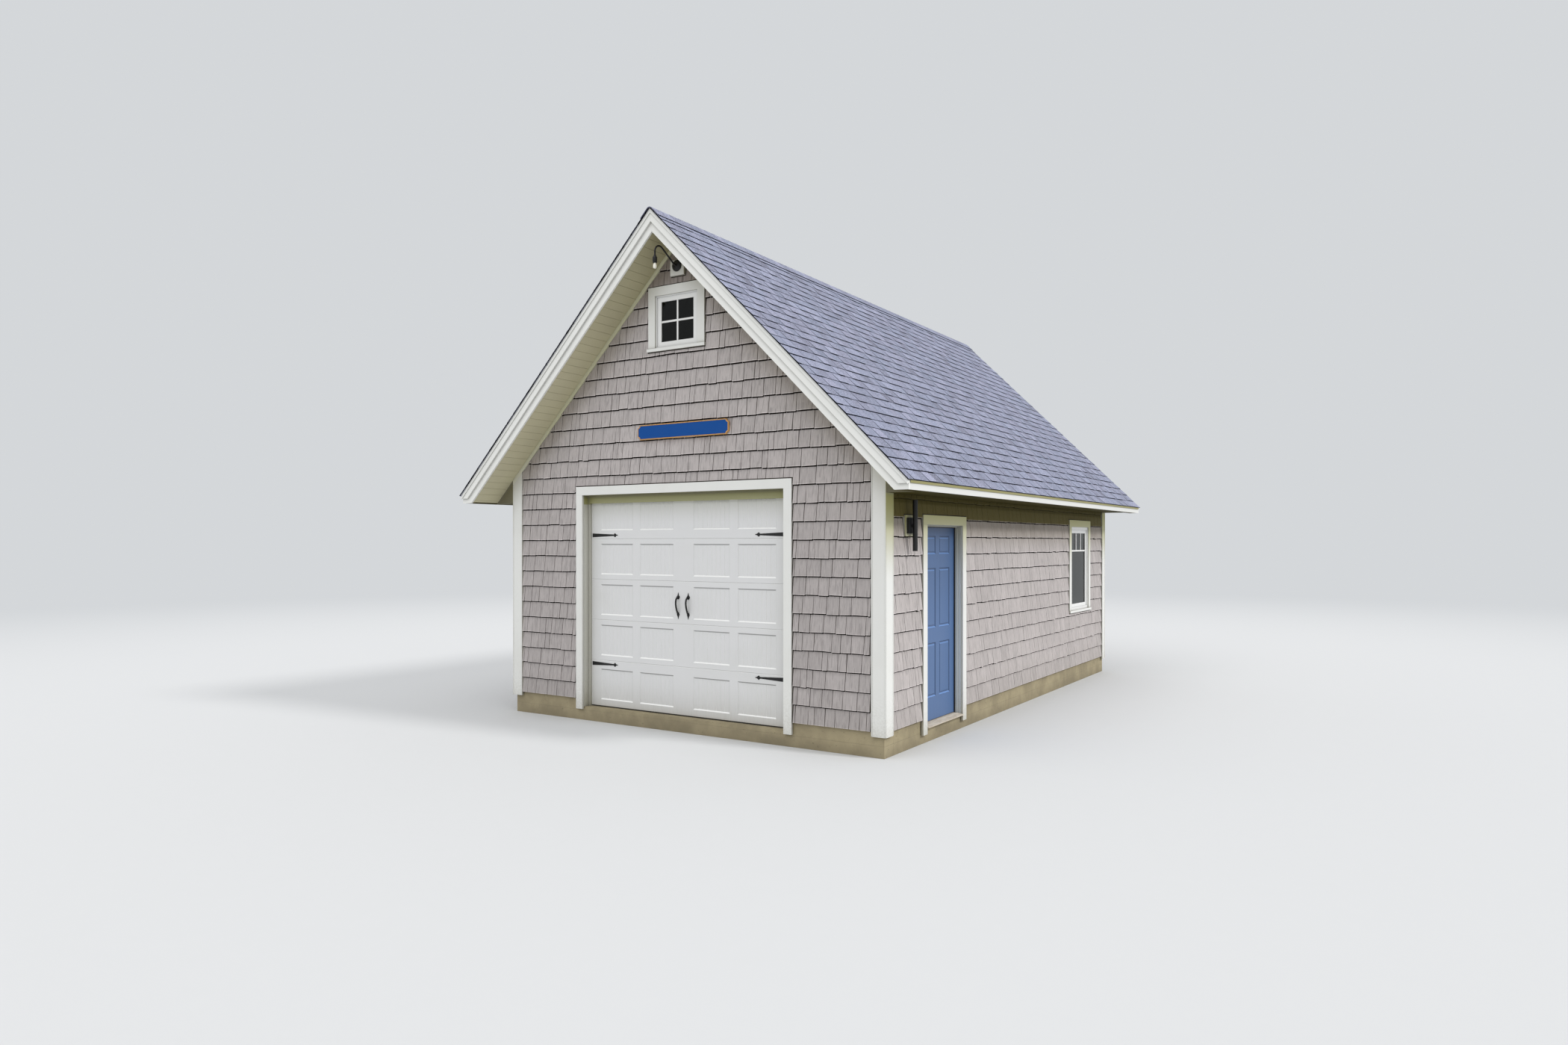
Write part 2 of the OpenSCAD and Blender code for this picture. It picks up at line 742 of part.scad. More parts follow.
// Jambs, head and stops round the garage doorway
module garage_door_frame() {
    stop_y = -face_y + garage_stop_in;
    back_y = -in_y + jamb_past;
    color(trim_color) {
        both_x() {
            box([garage_jamb_x, jamb_face_y, floor_z],
                [garage_rough_x - slack, back_y, garage_jamb_z - slack]);
            box([garage_jamb_x - garage_stop_w, stop_y, floor_z],
                [garage_jamb_x + eps, stop_y + garage_stop_t, garage_jamb_z - slack]);
        }
        box([-garage_rough_x + slack, jamb_face_y, garage_jamb_z],
            [garage_rough_x - slack, back_y, garage_rough_z - slack]);
        box([-garage_jamb_x + garage_stop_w + slack, stop_y, garage_jamb_z - garage_stop_h],
            [garage_jamb_x - garage_stop_w - slack, stop_y + garage_stop_t, garage_jamb_z + eps]);
    }
}

module garage_door_casing() {
    y0 = -face_y;
    y1 = -wall_y - slack;
    color(trim_color) {
        both_x() box([garage_half, y0, floor_z - 25],
                     [garage_half + casing_w, y1, garage_head_z - slack]);
        box([-garage_half - casing_w, y0, garage_head_z],
            [garage_half + casing_w, y1, garage_head_z + casing_w]);
    }
}

section_count = 5;
door_front_y = -face_y + garage_stop_in + garage_stop_t + slack;
section_z = floor_z + seal_h;
section_half = garage_jamb_x - 3;

// Level of the lower edge of a section, counted from 0; the highest one fills
// what is left under the head jamb
function section_low(index) =
    index == 0 ? section_z
    : index == section_count ? garage_jamb_z - head_gap
    : section_z + bottom_section_h + (index - 1) * section_h;

// Level of the middle of a section's panels
function panel_level(index) =
    index == 0 ? section_low(1) - end_rail - panel_h / 2
    : index == section_count - 1 ? section_low(index) + end_rail + panel_h / 2
    : (section_low(index) + section_low(index + 1)) / 2;

// A pocket with bevelled sides, cut into a face that looks along -Y
module bevelled_pocket(w, h, depth, bevel) {
    intersection() {
        translate([0, 0, -h / 2]) linear_extrude(h)
            polygon([[-w / 2, 0], [w / 2, 0], [w / 2 - bevel, depth], [bevel - w / 2, depth]]);
        translate([w / 2, 0, 0]) rotate([90, 0, -90]) linear_extrude(w)
            polygon([[0, -h / 2], [0, h / 2], [-depth, h / 2 - bevel], [-depth, bevel - h / 2]]);
    }
}

panel_centres = [
    for (s = [-1, 1], k = [0, 1]) s * (mid_stile / 2 + panel_w / 2 + k * (panel_w + side_stile))
];

// One section of the door: bead-board panels in bevelled recesses, a tongue on
// its upper edge and a groove for it in the lower edge
module garage_section(index) {
    z0 = section_low(index);
    z1 = section_low(index + 1);
    groove_step = (panel_w - 2 * panel_bevel) / (panel_grooves + 1);
    tongue = 6;
    color(trim_color) difference() {
        union() {
            translate([-section_half, 0, 0]) rotate([90, 0, 90]) linear_extrude(2 * section_half)
                polygon([[door_front_y, z0 + slack + joint_bevel], [door_front_y + joint_bevel, z0 + slack],
                         [door_front_y + section_t, z0 + slack], [door_front_y + section_t, z1],
                         [door_front_y + joint_bevel, z1], [door_front_y, z1 - joint_bevel]]);
            if (index < section_count - 1)
                box([-section_half, door_front_y + section_t / 3, z1 - eps],
                    [section_half, door_front_y + 2 * section_t / 3, z1 + tongue]);
        }
        if (index > 0)
            box([-section_half - eps, door_front_y + section_t / 3 - slack, z0 - eps],
                [section_half + eps, door_front_y + 2 * section_t / 3 + slack, z0 + tongue + slack]);
        for (x = panel_centres) translate([x, door_front_y, panel_level(index)]) {
            bevelled_pocket(panel_w, panel_h, panel_in, panel_bevel);
            for (i = [1 : panel_grooves])
                translate([i * groove_step - panel_w / 2 + panel_bevel, panel_in - eps,
                           panel_bevel - panel_h / 2])
                    linear_extrude(panel_h - 2 * panel_bevel) polygon([[-4, 0], [4, 0], [0, 4]]);
        }
    }
}

module garage_door_seal() {
    color(rubber_color) box([-section_half, door_front_y + 6, floor_z],
                            [section_half, door_front_y + section_t, section_z]);
}

// Tapered strap with a spade tip, flat against the sectional door
module strap_outline(inset) {
    root = strap_h / 2 - inset;
    neck = 0.4 * strap_h / 2 - 0.5 * inset;
    nib = strap_l - inset;
    lower = [
        [inset, -root], [nib - 72, -neck], [nib - 60, -neck], [nib - 50, -0.95 * root],
        [nib - 42, -0.95 * root], [nib - 26, -0.9 * neck], [nib - 12, -0.7 * neck]
    ];
    upper = [for (i = [len(lower) - 1 : -1 : 0]) [lower[i][0], -lower[i][1]]];
    polygon(concat(lower, [[nib, 0]], upper));
}

module strap(z) {
    translate([-section_half + garage_stop_w + 8, door_front_y, z]) rotate([90, 0, 0]) {
        linear_extrude(strap_t - 1) strap_outline(0);
        linear_extrude(strap_t) strap_outline(3);
    }
}

module garage_door_straps() {
    color(black_color) both_x() {
        strap(section_low(1) - strap_in);
        strap(section_low(section_count - 1) + strap_in);
    }
}

// Pull handle: a bowed grip between two spear plates
module pull() {
    half = pull_l / 2;
    span = half - 48;
    bow_r = (span * span + pull_bow * pull_bow) / (2 * pull_bow);
    sweep = 2 * asin(span / bow_r);
    end_out = grip_r * span / bow_r + slack;
    rotate([90, 0, 0]) linear_extrude(strap_t) {
        for (s = [-1, 1]) scale([1, s]) {
            polygon([[-11, span - 12], [11, span - 12], [22, span + 4], [9, span + 20], [5, half - 12],
                     [0, half], [-5, half - 12], [-9, span + 20], [-22, span + 4]]);
        }
    }
    translate([0, bow_r - pull_bow - end_out, 0]) rotate([0, 90, 0]) rotate([0, 0, -90 - sweep / 2])
        rotate_extrude(angle = sweep) translate([bow_r, 0]) circle(grip_r, $fn = 24);
}

module garage_door_pulls() {
    z = section_low(2) + pull_up;
    color(black_color) both_x() translate([pull_x, door_front_y, z]) pull();
}

// Jambs, head and stop beads round the side doorway
leaf_x = in_x + leaf_t;

module side_door_frame() {
    stop_x = leaf_x + 5;
    color(trim_color) difference() {
        union() for (s = [-1, 1]) translate([0, door_y, 0]) scale([1, s, 1]) {
            box([in_x, side_jamb_half, floor_z], [wall_x, side_rough_half - slack, side_jamb_z - slack]);
            box([stop_x, side_jamb_half - stop_t, floor_z + threshold_h + slack],
                [stop_x + stop_w, side_jamb_half + eps, side_jamb_z - stop_t - slack]);
        }
        fixed_leaf_pockets();
    }
    color(trim_color) {
        box([in_x, door_y - side_rough_half + slack, side_jamb_z],
            [wall_x, door_y + side_rough_half - slack, side_rough_z - slack]);
        box([stop_x, door_y - side_jamb_half + slack, side_jamb_z - stop_t],
            [stop_x + stop_w, door_y + side_jamb_half - slack, side_jamb_z + eps]);
    }
}

module side_door_casing() {
    x0 = wall_x + slack;
    color(trim_color) {
        for (s = [-1, 1]) translate([0, door_y, 0]) scale([1, s, 1])
            box([x0, side_casing_half, floor_z - 60],
                [face_x, side_casing_half + casing_w, side_casing_z - slack]);
        box([x0, door_y - side_casing_half - casing_w, side_casing_z],
            [face_x, door_y + side_casing_half + casing_w, side_casing_z + casing_w]);
    }
}

module side_door_threshold() {
    half = side_jamb_half - slack;
    color([0.55, 0.53, 0.50]) along_y(door_y - half, door_y + half)
        polygon([[in_x, floor_z], [face_x + 12, floor_z], [face_x + 12, floor_z + 9],
                 [leaf_x + 30, floor_z + threshold_h], [in_x + 10, floor_z + threshold_h],
                 [in_x, floor_z + 12]]);
}

// Hinge pins stand just inside the room, in the middle of the gap at the rear jamb
pin_x = in_x - knuckle_r - 1;
pin_y = door_y + side_jamb_half - leaf_gap / 2;
hinge_levels = [leaf_z + 180, leaf_z + leaf_h / 2, leaf_top - 180];
knuckles = 5;
knuckle_l = hinge_l / knuckles;
leaf_reach = 34;
knuckle_gap = 0.4;

module fixed_leaf_pockets() {
    for (z = hinge_levels)
        box([in_x - eps, door_y + side_jamb_half - eps, z - hinge_l / 2 - slack],
            [in_x + leaf_reach + slack, door_y + side_jamb_half + hinge_t + slack,
             z + hinge_l / 2 + slack]);
}

// Barrel pieces of one hinge leaf: the odd or the even knuckles
module knuckle_set(first) {
    for (i = [first : 2 : knuckles - 1])
        translate([pin_x, pin_y, -hinge_l / 2 + i * knuckle_l + knuckle_gap / 2])
            cylinder(h = knuckle_l - knuckle_gap, r = knuckle_r);
}

// Space that the other leaf's knuckles turn in
module knuckle_space(first) {
    for (i = [first : 2 : knuckles - 1])
        translate([pin_x, pin_y, -hinge_l / 2 + i * knuckle_l - knuckle_gap / 2])
            cylinder(h = knuckle_l + knuckle_gap, r = knuckle_r + 1);
}

module side_door_fixed_hinges() {
    y0 = door_y + side_jamb_half;
    color(black_color) for (z = hinge_levels) translate([0, 0, z]) {
        difference() {
            union() {
                box([pin_x, y0, -hinge_l / 2], [in_x + leaf_reach, y0 + hinge_t, hinge_l / 2]);
                box([pin_x, pin_y, -hinge_l / 2], [pin_x + hinge_t + 3, y0 + hinge_t, hinge_l / 2]);
            }
            knuckle_space(1);
        }
        knuckle_set(0);
        translate([pin_x, pin_y, -hinge_l / 2 - 3]) cylinder(h = hinge_l + 6, r = hinge_pin_r);
    }
}

module side_door_hinges() {
    y1 = door_y + leaf_w / 2;
    color(black_color) for (z = hinge_levels) translate([0, 0, z]) difference() {
        union() {
            difference() {
                union() {
                    box([pin_x, y1 - hinge_t, -hinge_l / 2], [in_x + leaf_reach, y1, hinge_l / 2]);
                    box([pin_x, y1 - hinge_t, -hinge_l / 2], [pin_x + hinge_t + 3, pin_y, hinge_l / 2]);
                }
                knuckle_space(0);
            }
            knuckle_set(1);
        }
        translate([pin_x, pin_y, -hinge_l]) cylinder(h = 2 * hinge_l, r = hinge_pin_r + pin_clear);
    }
}

// Six-panel leaf: distance of each row of panels from the leaf's foot, and its height
leaf_panel_w = (leaf_w - 2 * stile_w - mullion_w) / 2;
leaf_panels = [
    [bottom_rail, bottom_panel],
    [bottom_rail + bottom_panel + lock_rail, middle_panel],
    [bottom_rail + bottom_panel + lock_rail + middle_panel + upper_rail,
     leaf_h - bottom_rail - bottom_panel - lock_rail - middle_panel - upper_rail - top_rail]
];

// A sunk panel with a raised field, as it is cut into a face that looks along -Y
module sunk_panel(w, h) {
    field = 34;
    difference() {
        bevelled_pocket(w, h, 7, 9);
        translate([0, 8, 0]) mirror([0, 1, 0]) bevelled_pocket(w - field, h - field, 6, 12);
    }
}

module side_door() {
    y1 = door_y + leaf_w / 2;
    color(blue_color) difference() {
        box([in_x, door_y - leaf_w / 2, leaf_z], [leaf_x, y1, leaf_top]);
        for (z = hinge_levels)
            box([in_x - eps, y1 - hinge_t - slack, z - hinge_l / 2 - slack],
                [in_x + leaf_reach + slack, y1 + eps, z + hinge_l / 2 + slack]);
        for (s = [-1, 1], row = leaf_panels)
            translate([0, door_y + s * (mullion_w + leaf_panel_w) / 2, leaf_z + row[0] + row[1] / 2]) {
                translate([leaf_x, 0, 0]) rotate([0, 0, 90]) sunk_panel(leaf_panel_w, row[1]);
                translate([in_x, 0, 0]) rotate([0, 0, -90]) sunk_panel(leaf_panel_w, row[1]);
            }
        translate([in_x - eps, knob_y, knob_z]) rotate([0, 90, 0])
            cylinder(h = leaf_t + 2 * eps, r = knob_bore_r);
    }
}

knob_y = door_y - leaf_w / 2 + knob_in;
knob_z = leaf_z + bottom_rail + bottom_panel + lock_rail / 2;

// Radius and distance from the leaf's face, from the knob's crown down to its rose
knob_profile = [
    [0, knob_out], [0.64 * knob_r, knob_out], [knob_r, knob_out - 8], [knob_r, knob_out - 20],
    [0.44 * knob_r, knob_out - 30], [0.44 * knob_r, 6], [rose_r, 5], [rose_r, slack],
    [knob_bore_r - 1, slack]
];

// Knobs on both faces and the spindle housing between them, turned about one axis
module side_door_knob() {
    half = leaf_t / 2;
    color(black_color) translate([in_x + half, knob_y, knob_z]) rotate([0, 90, 0]) rotate_extrude()
        polygon(concat(
            [for (p = knob_profile) [p[0], -half - p[1]]],
            [for (i = [len(knob_profile) - 1 : -1 : 0]) [knob_profile[i][0], half + knob_profile[i][1]]]));
}

// Frame and sash of a window whose opening is w wide and h high, in a wall that
// faces -Y. Its outer face is at Y 0, and its lower left corner at the origin
module window_unit(w, h, frame_w) {
    inner = frame_w + sash_w;
    difference() {
        box([slack, 0, slack], [w - slack, window_depth, h - slack]);
        box([frame_w, -eps, frame_w], [w - frame_w, 12, h - frame_w]);
        box([inner, -eps, inner], [w - inner, window_depth + eps, h - inner]);
    }
}

module pane(w, h, inner) {
    box([inner + slack, glass_in, inner + slack],
        [w - inner - slack, glass_in + glass_t, h - inner - slack]);
}

side_w = 2 * side_open_half;
side_h = side_window_h - casing_w - sill_h;
gable_w = 2 * gable_open_half;
gable_h = gable_window_h - casing_w - sill_h;
side_inner = side_frame_w + sash_w;
gable_inner = gable_frame_w + sash_w;

// Glazing bars of the side window: a cross bar a quarter down and two above it
module side_bars() {
    y0 = glass_in - 8;
    light_w = side_w - 2 * side_inner;
    light_h = side_h - 2 * side_inner;
    bar_z = side_h - side_inner - light_h / 4;
    box([side_inner - eps, y0, bar_z - bar_w / 2],
        [side_w - side_inner + eps, glass_in - slack, bar_z + bar_w / 2]);
    for (k = [1, 2])
        box([side_inner + k * light_w / 3 - bar_w / 2, y0, bar_z],
            [side_inner + k * light_w / 3 + bar_w / 2, glass_in - slack, side_h - side_inner + eps]);
}

// Glazing bars of the gable window: one upright and one cross bar
module gable_bars() {
    y0 = glass_in - 8;
    box([gable_inner - eps, y0, (gable_h - bar_w) / 2],
        [gable_w - gable_inner + eps, glass_in - slack, (gable_h + bar_w) / 2]);
    box([(gable_w - bar_w) / 2, y0, gable_inner - eps],
        [(gable_w + bar_w) / 2, glass_in - slack, gable_h - gable_inner + eps]);
}

// Places for a window's own frame: in the front gable, and in the right wall
module in_front_gable() {
    translate([-gable_open_half, -face_y + window_in, gable_window_z + sill_h]) children();
}

module in_right_wall() {
    translate([face_x - window_in, window_y - side_open_half, side_window_z + sill_h])
        rotate([0, 0, 90]) children();
}

module gable_window_unit() {
    in_front_gable() {
        window_unit(gable_w, gable_h, gable_frame_w);
        gable_bars();
    }
}

module side_window_unit() {
    in_right_wall() {
        window_unit(side_w, side_h, side_frame_w);
        side_bars();
    }
}

module front_gable_window() {
    color(trim_color) gable_window_unit();
}

module back_gable_window() {
    color(trim_color) mirror([0, 1, 0]) gable_window_unit();
}

module right_window() {
    color(trim_color) side_window_unit();
}

module left_window() {
    color(trim_color) mirror([1, 0, 0]) side_window_unit();
}

module window_panes() {
    color(glass_color) {
        both_y() in_front_gable() pane(gable_w, gable_h, gable_inner);
        both_x() in_right_wall() pane(side_w, side_h, side_inner);
    }
}

// Casing of a window: boards at the sides and top, and a nosed sill below whose
// horns reach over the siding
module casing_ring(w, h, wall_gap) {
    difference() {
        union() {
            box([0, 0, 0], [w, trim_t - wall_gap, h]);
            box([-sill_horn, -sill_nose, 0], [w + sill_horn, trim_t - siding_butt - eps, sill_h]);
        }
        box([casing_w, -eps, sill_h], [w - casing_w, trim_t + eps, h - casing_w]);
    }
}

module window_casings() {
    color(trim_color) {
        both_y() translate([-gable_window_w / 2, -face_y, gable_window_z])
            casing_ring(gable_window_w, gable_window_h, slack);
        both_x() translate([face_x, window_y - side_window_w / 2, side_window_z]) rotate([0, 0, 90])
            casing_ring(side_window_w, side_window_h, slack);
    }
}

block_t = trim_t + 12;

module light_blocks() {
    color(trim_color) {
        box([lamp_x - lamp_block_w / 2, -wall_y - block_t, lamp_z - lamp_block_h / 2],
            [lamp_x + lamp_block_w / 2, -wall_y - slack, lamp_z + lamp_block_h / 2]);
        box([wall_x + slack, -face_y + sconce_y - sconce_block_w / 2, sconce_z - sconce_block_h / 2],
            [wall_x + block_t, -face_y + sconce_y + sconce_block_w / 2, sconce_z + sconce_block_h / 2]);
    }
}

// Gooseneck lamp: wall cup, a tube that bends up, rises and bows over to point down,
// and a bare socket. Points of the tube are [reach, rise] from the cup's middle
lamp_wall_y = -wall_y - block_t;
lamp_cup_z = lamp_z + 18;
lamp_run = (lamp_reach - (first_bend_r + bow_r) * sin(rise_angle) - bow_r) / cos(rise_angle);
run_start = [first_bend_r * sin(rise_angle), first_bend_r * (1 - cos(rise_angle))];
bow_centre = run_start + lamp_run * [cos(rise_angle), sin(rise_angle)]
    + bow_r * [sin(rise_angle), -cos(rise_angle)];
socket_top = bow_centre[1] - neck_drop;

module tube_bend(radius, sweep) {
    rotate_extrude(angle = sweep) translate([radius, 0]) circle(lamp_tube_r - slack, $fn = 24);
}

module gooseneck_lamp() {
    color(black_color) translate([lamp_x, lamp_wall_y - slack, lamp_cup_z]) rotate([90, 0, -90]) {
        rotate([0, 90, 0]) rotate_extrude()
            polygon([[0, 0], [lamp_cup_r, 0], [lamp_cup_r, 8], [lamp_cup_r - 14, 20], [0, 24]]);
        translate([0, first_bend_r, 0]) rotate([0, 0, -90]) tube_bend(first_bend_r, rise_angle);
        translate([run_start[0], run_start[1], 0]) rotate([0, 90, rise_angle]) translate([0, 0, -eps])
            cylinder(h = lamp_run + 2 * eps, r = lamp_tube_r);
        translate([bow_centre[0], bow_centre[1], 0]) tube_bend(bow_r, 90 + rise_angle);
        translate([bow_centre[0] + bow_r, socket_top - eps, 0]) rotate([-90, 0, 0])
            cylinder(h = neck_drop + 2 * eps, r = lamp_tube_r);
        translate([bow_centre[0] + bow_r, socket_top - socket_l, 0]) rotate([-90, 0, 0])
            cylinder(h = socket_l, r = socket_r);
    }
}

module lamp_bulb() {
    socket_y = lamp_wall_y - slack - lamp_reach;
    z = lamp_cup_z + socket_top - socket_l - slack;
    color([0.95, 0.95, 0.92]) translate([lamp_x, socket_y, z - 56]) rotate_extrude()
        intersection() {
            union() {
                translate([0, 22]) circle(22);
                translate([-13, 26]) square([26, 30]);
            }
            square([30, 60]);
        }
}

// Wall light: a square housing on its block, a short arm and a plain upright cylinder
module wall_light() {
    housing_x = wall_x + block_t;
    axis_x = face_x + sconce_out;
    y = -face_y + sconce_y;
    arm_half = sconce_r * 0.6;
    color(black_color) {
        box([housing_x + slack, y - sconce_plate / 2, sconce_z - sconce_plate / 2],
            [housing_x + sconce_plate_t, y + sconce_plate / 2, sconce_z + sconce_plate / 2]);
        box([housing_x + sconce_plate_t - eps, y - arm_half, sconce_z - arm_half],
            [axis_x, y + arm_half, sconce_z + arm_half]);
        translate([axis_x, y, sconce_z - sconce_l / 2]) cylinder(h = sconce_l, r = sconce_r);
    }
}

// Name board: a bevelled face with scooped corners
module board_outline(inset) {
    w = board_w - 2 * inset;
    h = board_h - 2 * inset;
    difference() {
        translate([-w / 2, -h / 2]) square([w, h]);
        for (x = [-1, 1], z = [-1, 1]) translate([x * board_w / 2, z * board_h / 2])
            circle(board_scoop + inset, $fn = 32);
    }
}

module name_board() {
    back_y = -wall_y - siding_butt - slack;
    color(board_color) translate([board_x, back_y, board_z]) rotate([90, 0, 0]) {
        linear_extrude(board_t - 4) board_outline(0);
        linear_extrude(board_t) board_outline(8);
    }
}

stem_walls();
floor_slab();
front_wall_left();
front_wall_right();
front_gable_wall();
right_wall_front();
right_wall_over_door();
right_wall_rear();
left_wall();
back_wall();
front_siding();
right_siding();
left_siding();
back_siding();
corner_boards();
frieze_boards();
rafters();
ridge_board();
roof_sheathing();
roof_shingles();
ridge_cap();
front_rake_boards();
back_rake_boards();
eave_fascias();
eave_soffits();
rake_soffits();
garage_door_frame();
garage_door_casing();
garage_door_seal();
garage_section(0);  // garage_door_section_1
garage_section(1);  // garage_door_section_2
garage_section(2);  // garage_door_section_3
garage_section(3);  // garage_door_section_4
garage_section(4);  // garage_door_section_5
garage_door_straps();
garage_door_pulls();
side_door_frame();
side_door_casing();
side_door_threshold();
side_door_fixed_hinges();
side_door();
side_door_hinges();
side_door_knob();
right_window();
left_window();
front_gable_window();
back_gable_window();
window_panes();
window_casings();
light_blocks();
gooseneck_lamp();
lamp_bulb();
wall_light();
name_board();
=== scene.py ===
"""Looks of a small gable-roofed boathouse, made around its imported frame.

Every piece is in metres in the frame's own axes: the sectional door faces -Y, the
side door is in the +X wall and the ground is at Z 0.
"""
import math
import random

import bmesh
import bpy
from bpy.props import FloatProperty, FloatVectorProperty, IntProperty, PointerProperty
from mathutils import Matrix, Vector


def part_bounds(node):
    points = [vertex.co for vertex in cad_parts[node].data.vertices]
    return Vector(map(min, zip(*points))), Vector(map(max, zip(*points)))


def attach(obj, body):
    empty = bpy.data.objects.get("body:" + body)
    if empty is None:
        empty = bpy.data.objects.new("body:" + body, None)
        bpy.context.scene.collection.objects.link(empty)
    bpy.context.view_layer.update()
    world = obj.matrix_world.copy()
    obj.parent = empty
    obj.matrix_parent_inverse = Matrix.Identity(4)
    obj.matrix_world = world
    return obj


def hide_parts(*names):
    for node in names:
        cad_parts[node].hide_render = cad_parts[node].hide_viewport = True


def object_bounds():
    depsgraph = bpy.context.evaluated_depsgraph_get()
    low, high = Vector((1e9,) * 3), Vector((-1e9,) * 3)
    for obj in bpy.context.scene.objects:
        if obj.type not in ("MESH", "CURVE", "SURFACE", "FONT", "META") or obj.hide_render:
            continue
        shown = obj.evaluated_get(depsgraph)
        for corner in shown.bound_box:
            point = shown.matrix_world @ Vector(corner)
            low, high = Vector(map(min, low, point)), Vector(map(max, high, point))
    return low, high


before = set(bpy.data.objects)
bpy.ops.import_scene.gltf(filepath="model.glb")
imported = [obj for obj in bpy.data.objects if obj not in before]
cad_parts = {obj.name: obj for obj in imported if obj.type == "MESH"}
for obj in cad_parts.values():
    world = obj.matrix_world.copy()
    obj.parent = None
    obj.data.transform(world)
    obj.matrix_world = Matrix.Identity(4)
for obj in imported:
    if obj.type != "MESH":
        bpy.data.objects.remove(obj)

bl_info = {
    "name": "Boathouse Looks",
    "version": (1, 0, 0),
    "blender": (4, 5, 0),
    "location": "3D Viewport > Sidebar > Boathouse",
    "description": "Finishes and fine pieces of a gable-roofed boathouse",
    "category": "Object",
}

CAD_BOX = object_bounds()
BODY = "building"
BACKDROP = (0.66, 0.68, 0.70)

# The camera: its image, focal length and middle of view in pixels, its place and its turn
IMAGE_W, IMAGE_H = 2100, 1399
FOCAL = 1312.9
MIDDLE_X, MIDDLE_Y = 1077.9, 726.2
CAMERA_PLACE = (6.6073, -11.6867, 1.9936)
CAMERA_TURN = 32.06


def part_box(node, test):
    """Box of the vertices of a node that pass a test, so of one piece of it."""
    axes = list(zip(*(v.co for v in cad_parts[node].data.vertices if test(v.co))))
    return Vector([min(axis) for axis in axes]), Vector([max(axis) for axis in axes])


# Slack in telling the pieces of a node apart and in ending a row, and the hairline left beside
# other pieces
NEAR = 0.01
HAIR = 0.0005

# The walls' faces, the roof's slopes and the boxes that the siding is cut round
CORNER_BOARD = 0.025
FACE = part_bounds("corner_boards")[1]
WALL_X = FACE.x - CORNER_BOARD
WALL_Y = FACE.y - CORNER_BOARD
RIDGE_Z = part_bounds("roof_sheathing")[1].z
PITCH = math.radians(44.5)
SLOPE = math.tan(PITCH)
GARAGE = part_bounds("garage_door_casing")
SIDE_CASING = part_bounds("side_door_casing")
SIDE_WINDOW = part_box("window_casings", lambda p: p.x > WALL_X - NEAR)
GABLE_WINDOW = part_box("window_casings", lambda p: p.y < -WALL_Y + NEAR)
LAMP_BLOCK = part_box("light_blocks", lambda p: p.y < -WALL_Y + NEAR and p.z > 3)
SCONCE_BLOCK = part_box("light_blocks", lambda p: p.x > WALL_X - NEAR)

# Level from which the side walls carry painted shade under an eave, widths of shakes from the
# narrowest (0) to the widest (1), and widths of shingle tabs in metres
SHADED_Z = 2.36
SHAKE_WIDTHS = (0.0, 0.42, 0.55, 0.68, 0.8, 1.0)
TAB_WIDTHS = (0.135, 0.145, 0.155, 0.165, 0.18)


def srgb(red, green, blue):
    """Linear colour from 0-255 values as they are seen on a screen."""
    return tuple(((c / 255 + 0.055) / 1.055) ** 2.4 for c in (red, green, blue))


def times(colour, factor):
    """A colour made darker or lighter."""
    return tuple(min(1.0, c * factor) for c in colour)


# Materials


class Wire:
    """An output of a material's node, on which arithmetic adds Math nodes."""

    def __init__(self, shade, socket):
        self.shade, self.socket = shade, socket

    def __add__(self, other):
        return self.shade.math("ADD", self, other)

    def __sub__(self, other):
        return self.shade.math("SUBTRACT", self, other)

    def __rsub__(self, other):
        return self.shade.math("SUBTRACT", other, self)

    def __mul__(self, other):
        return self.shade.math("MULTIPLY", self, other)

    __radd__ = __add__
    __rmul__ = __mul__


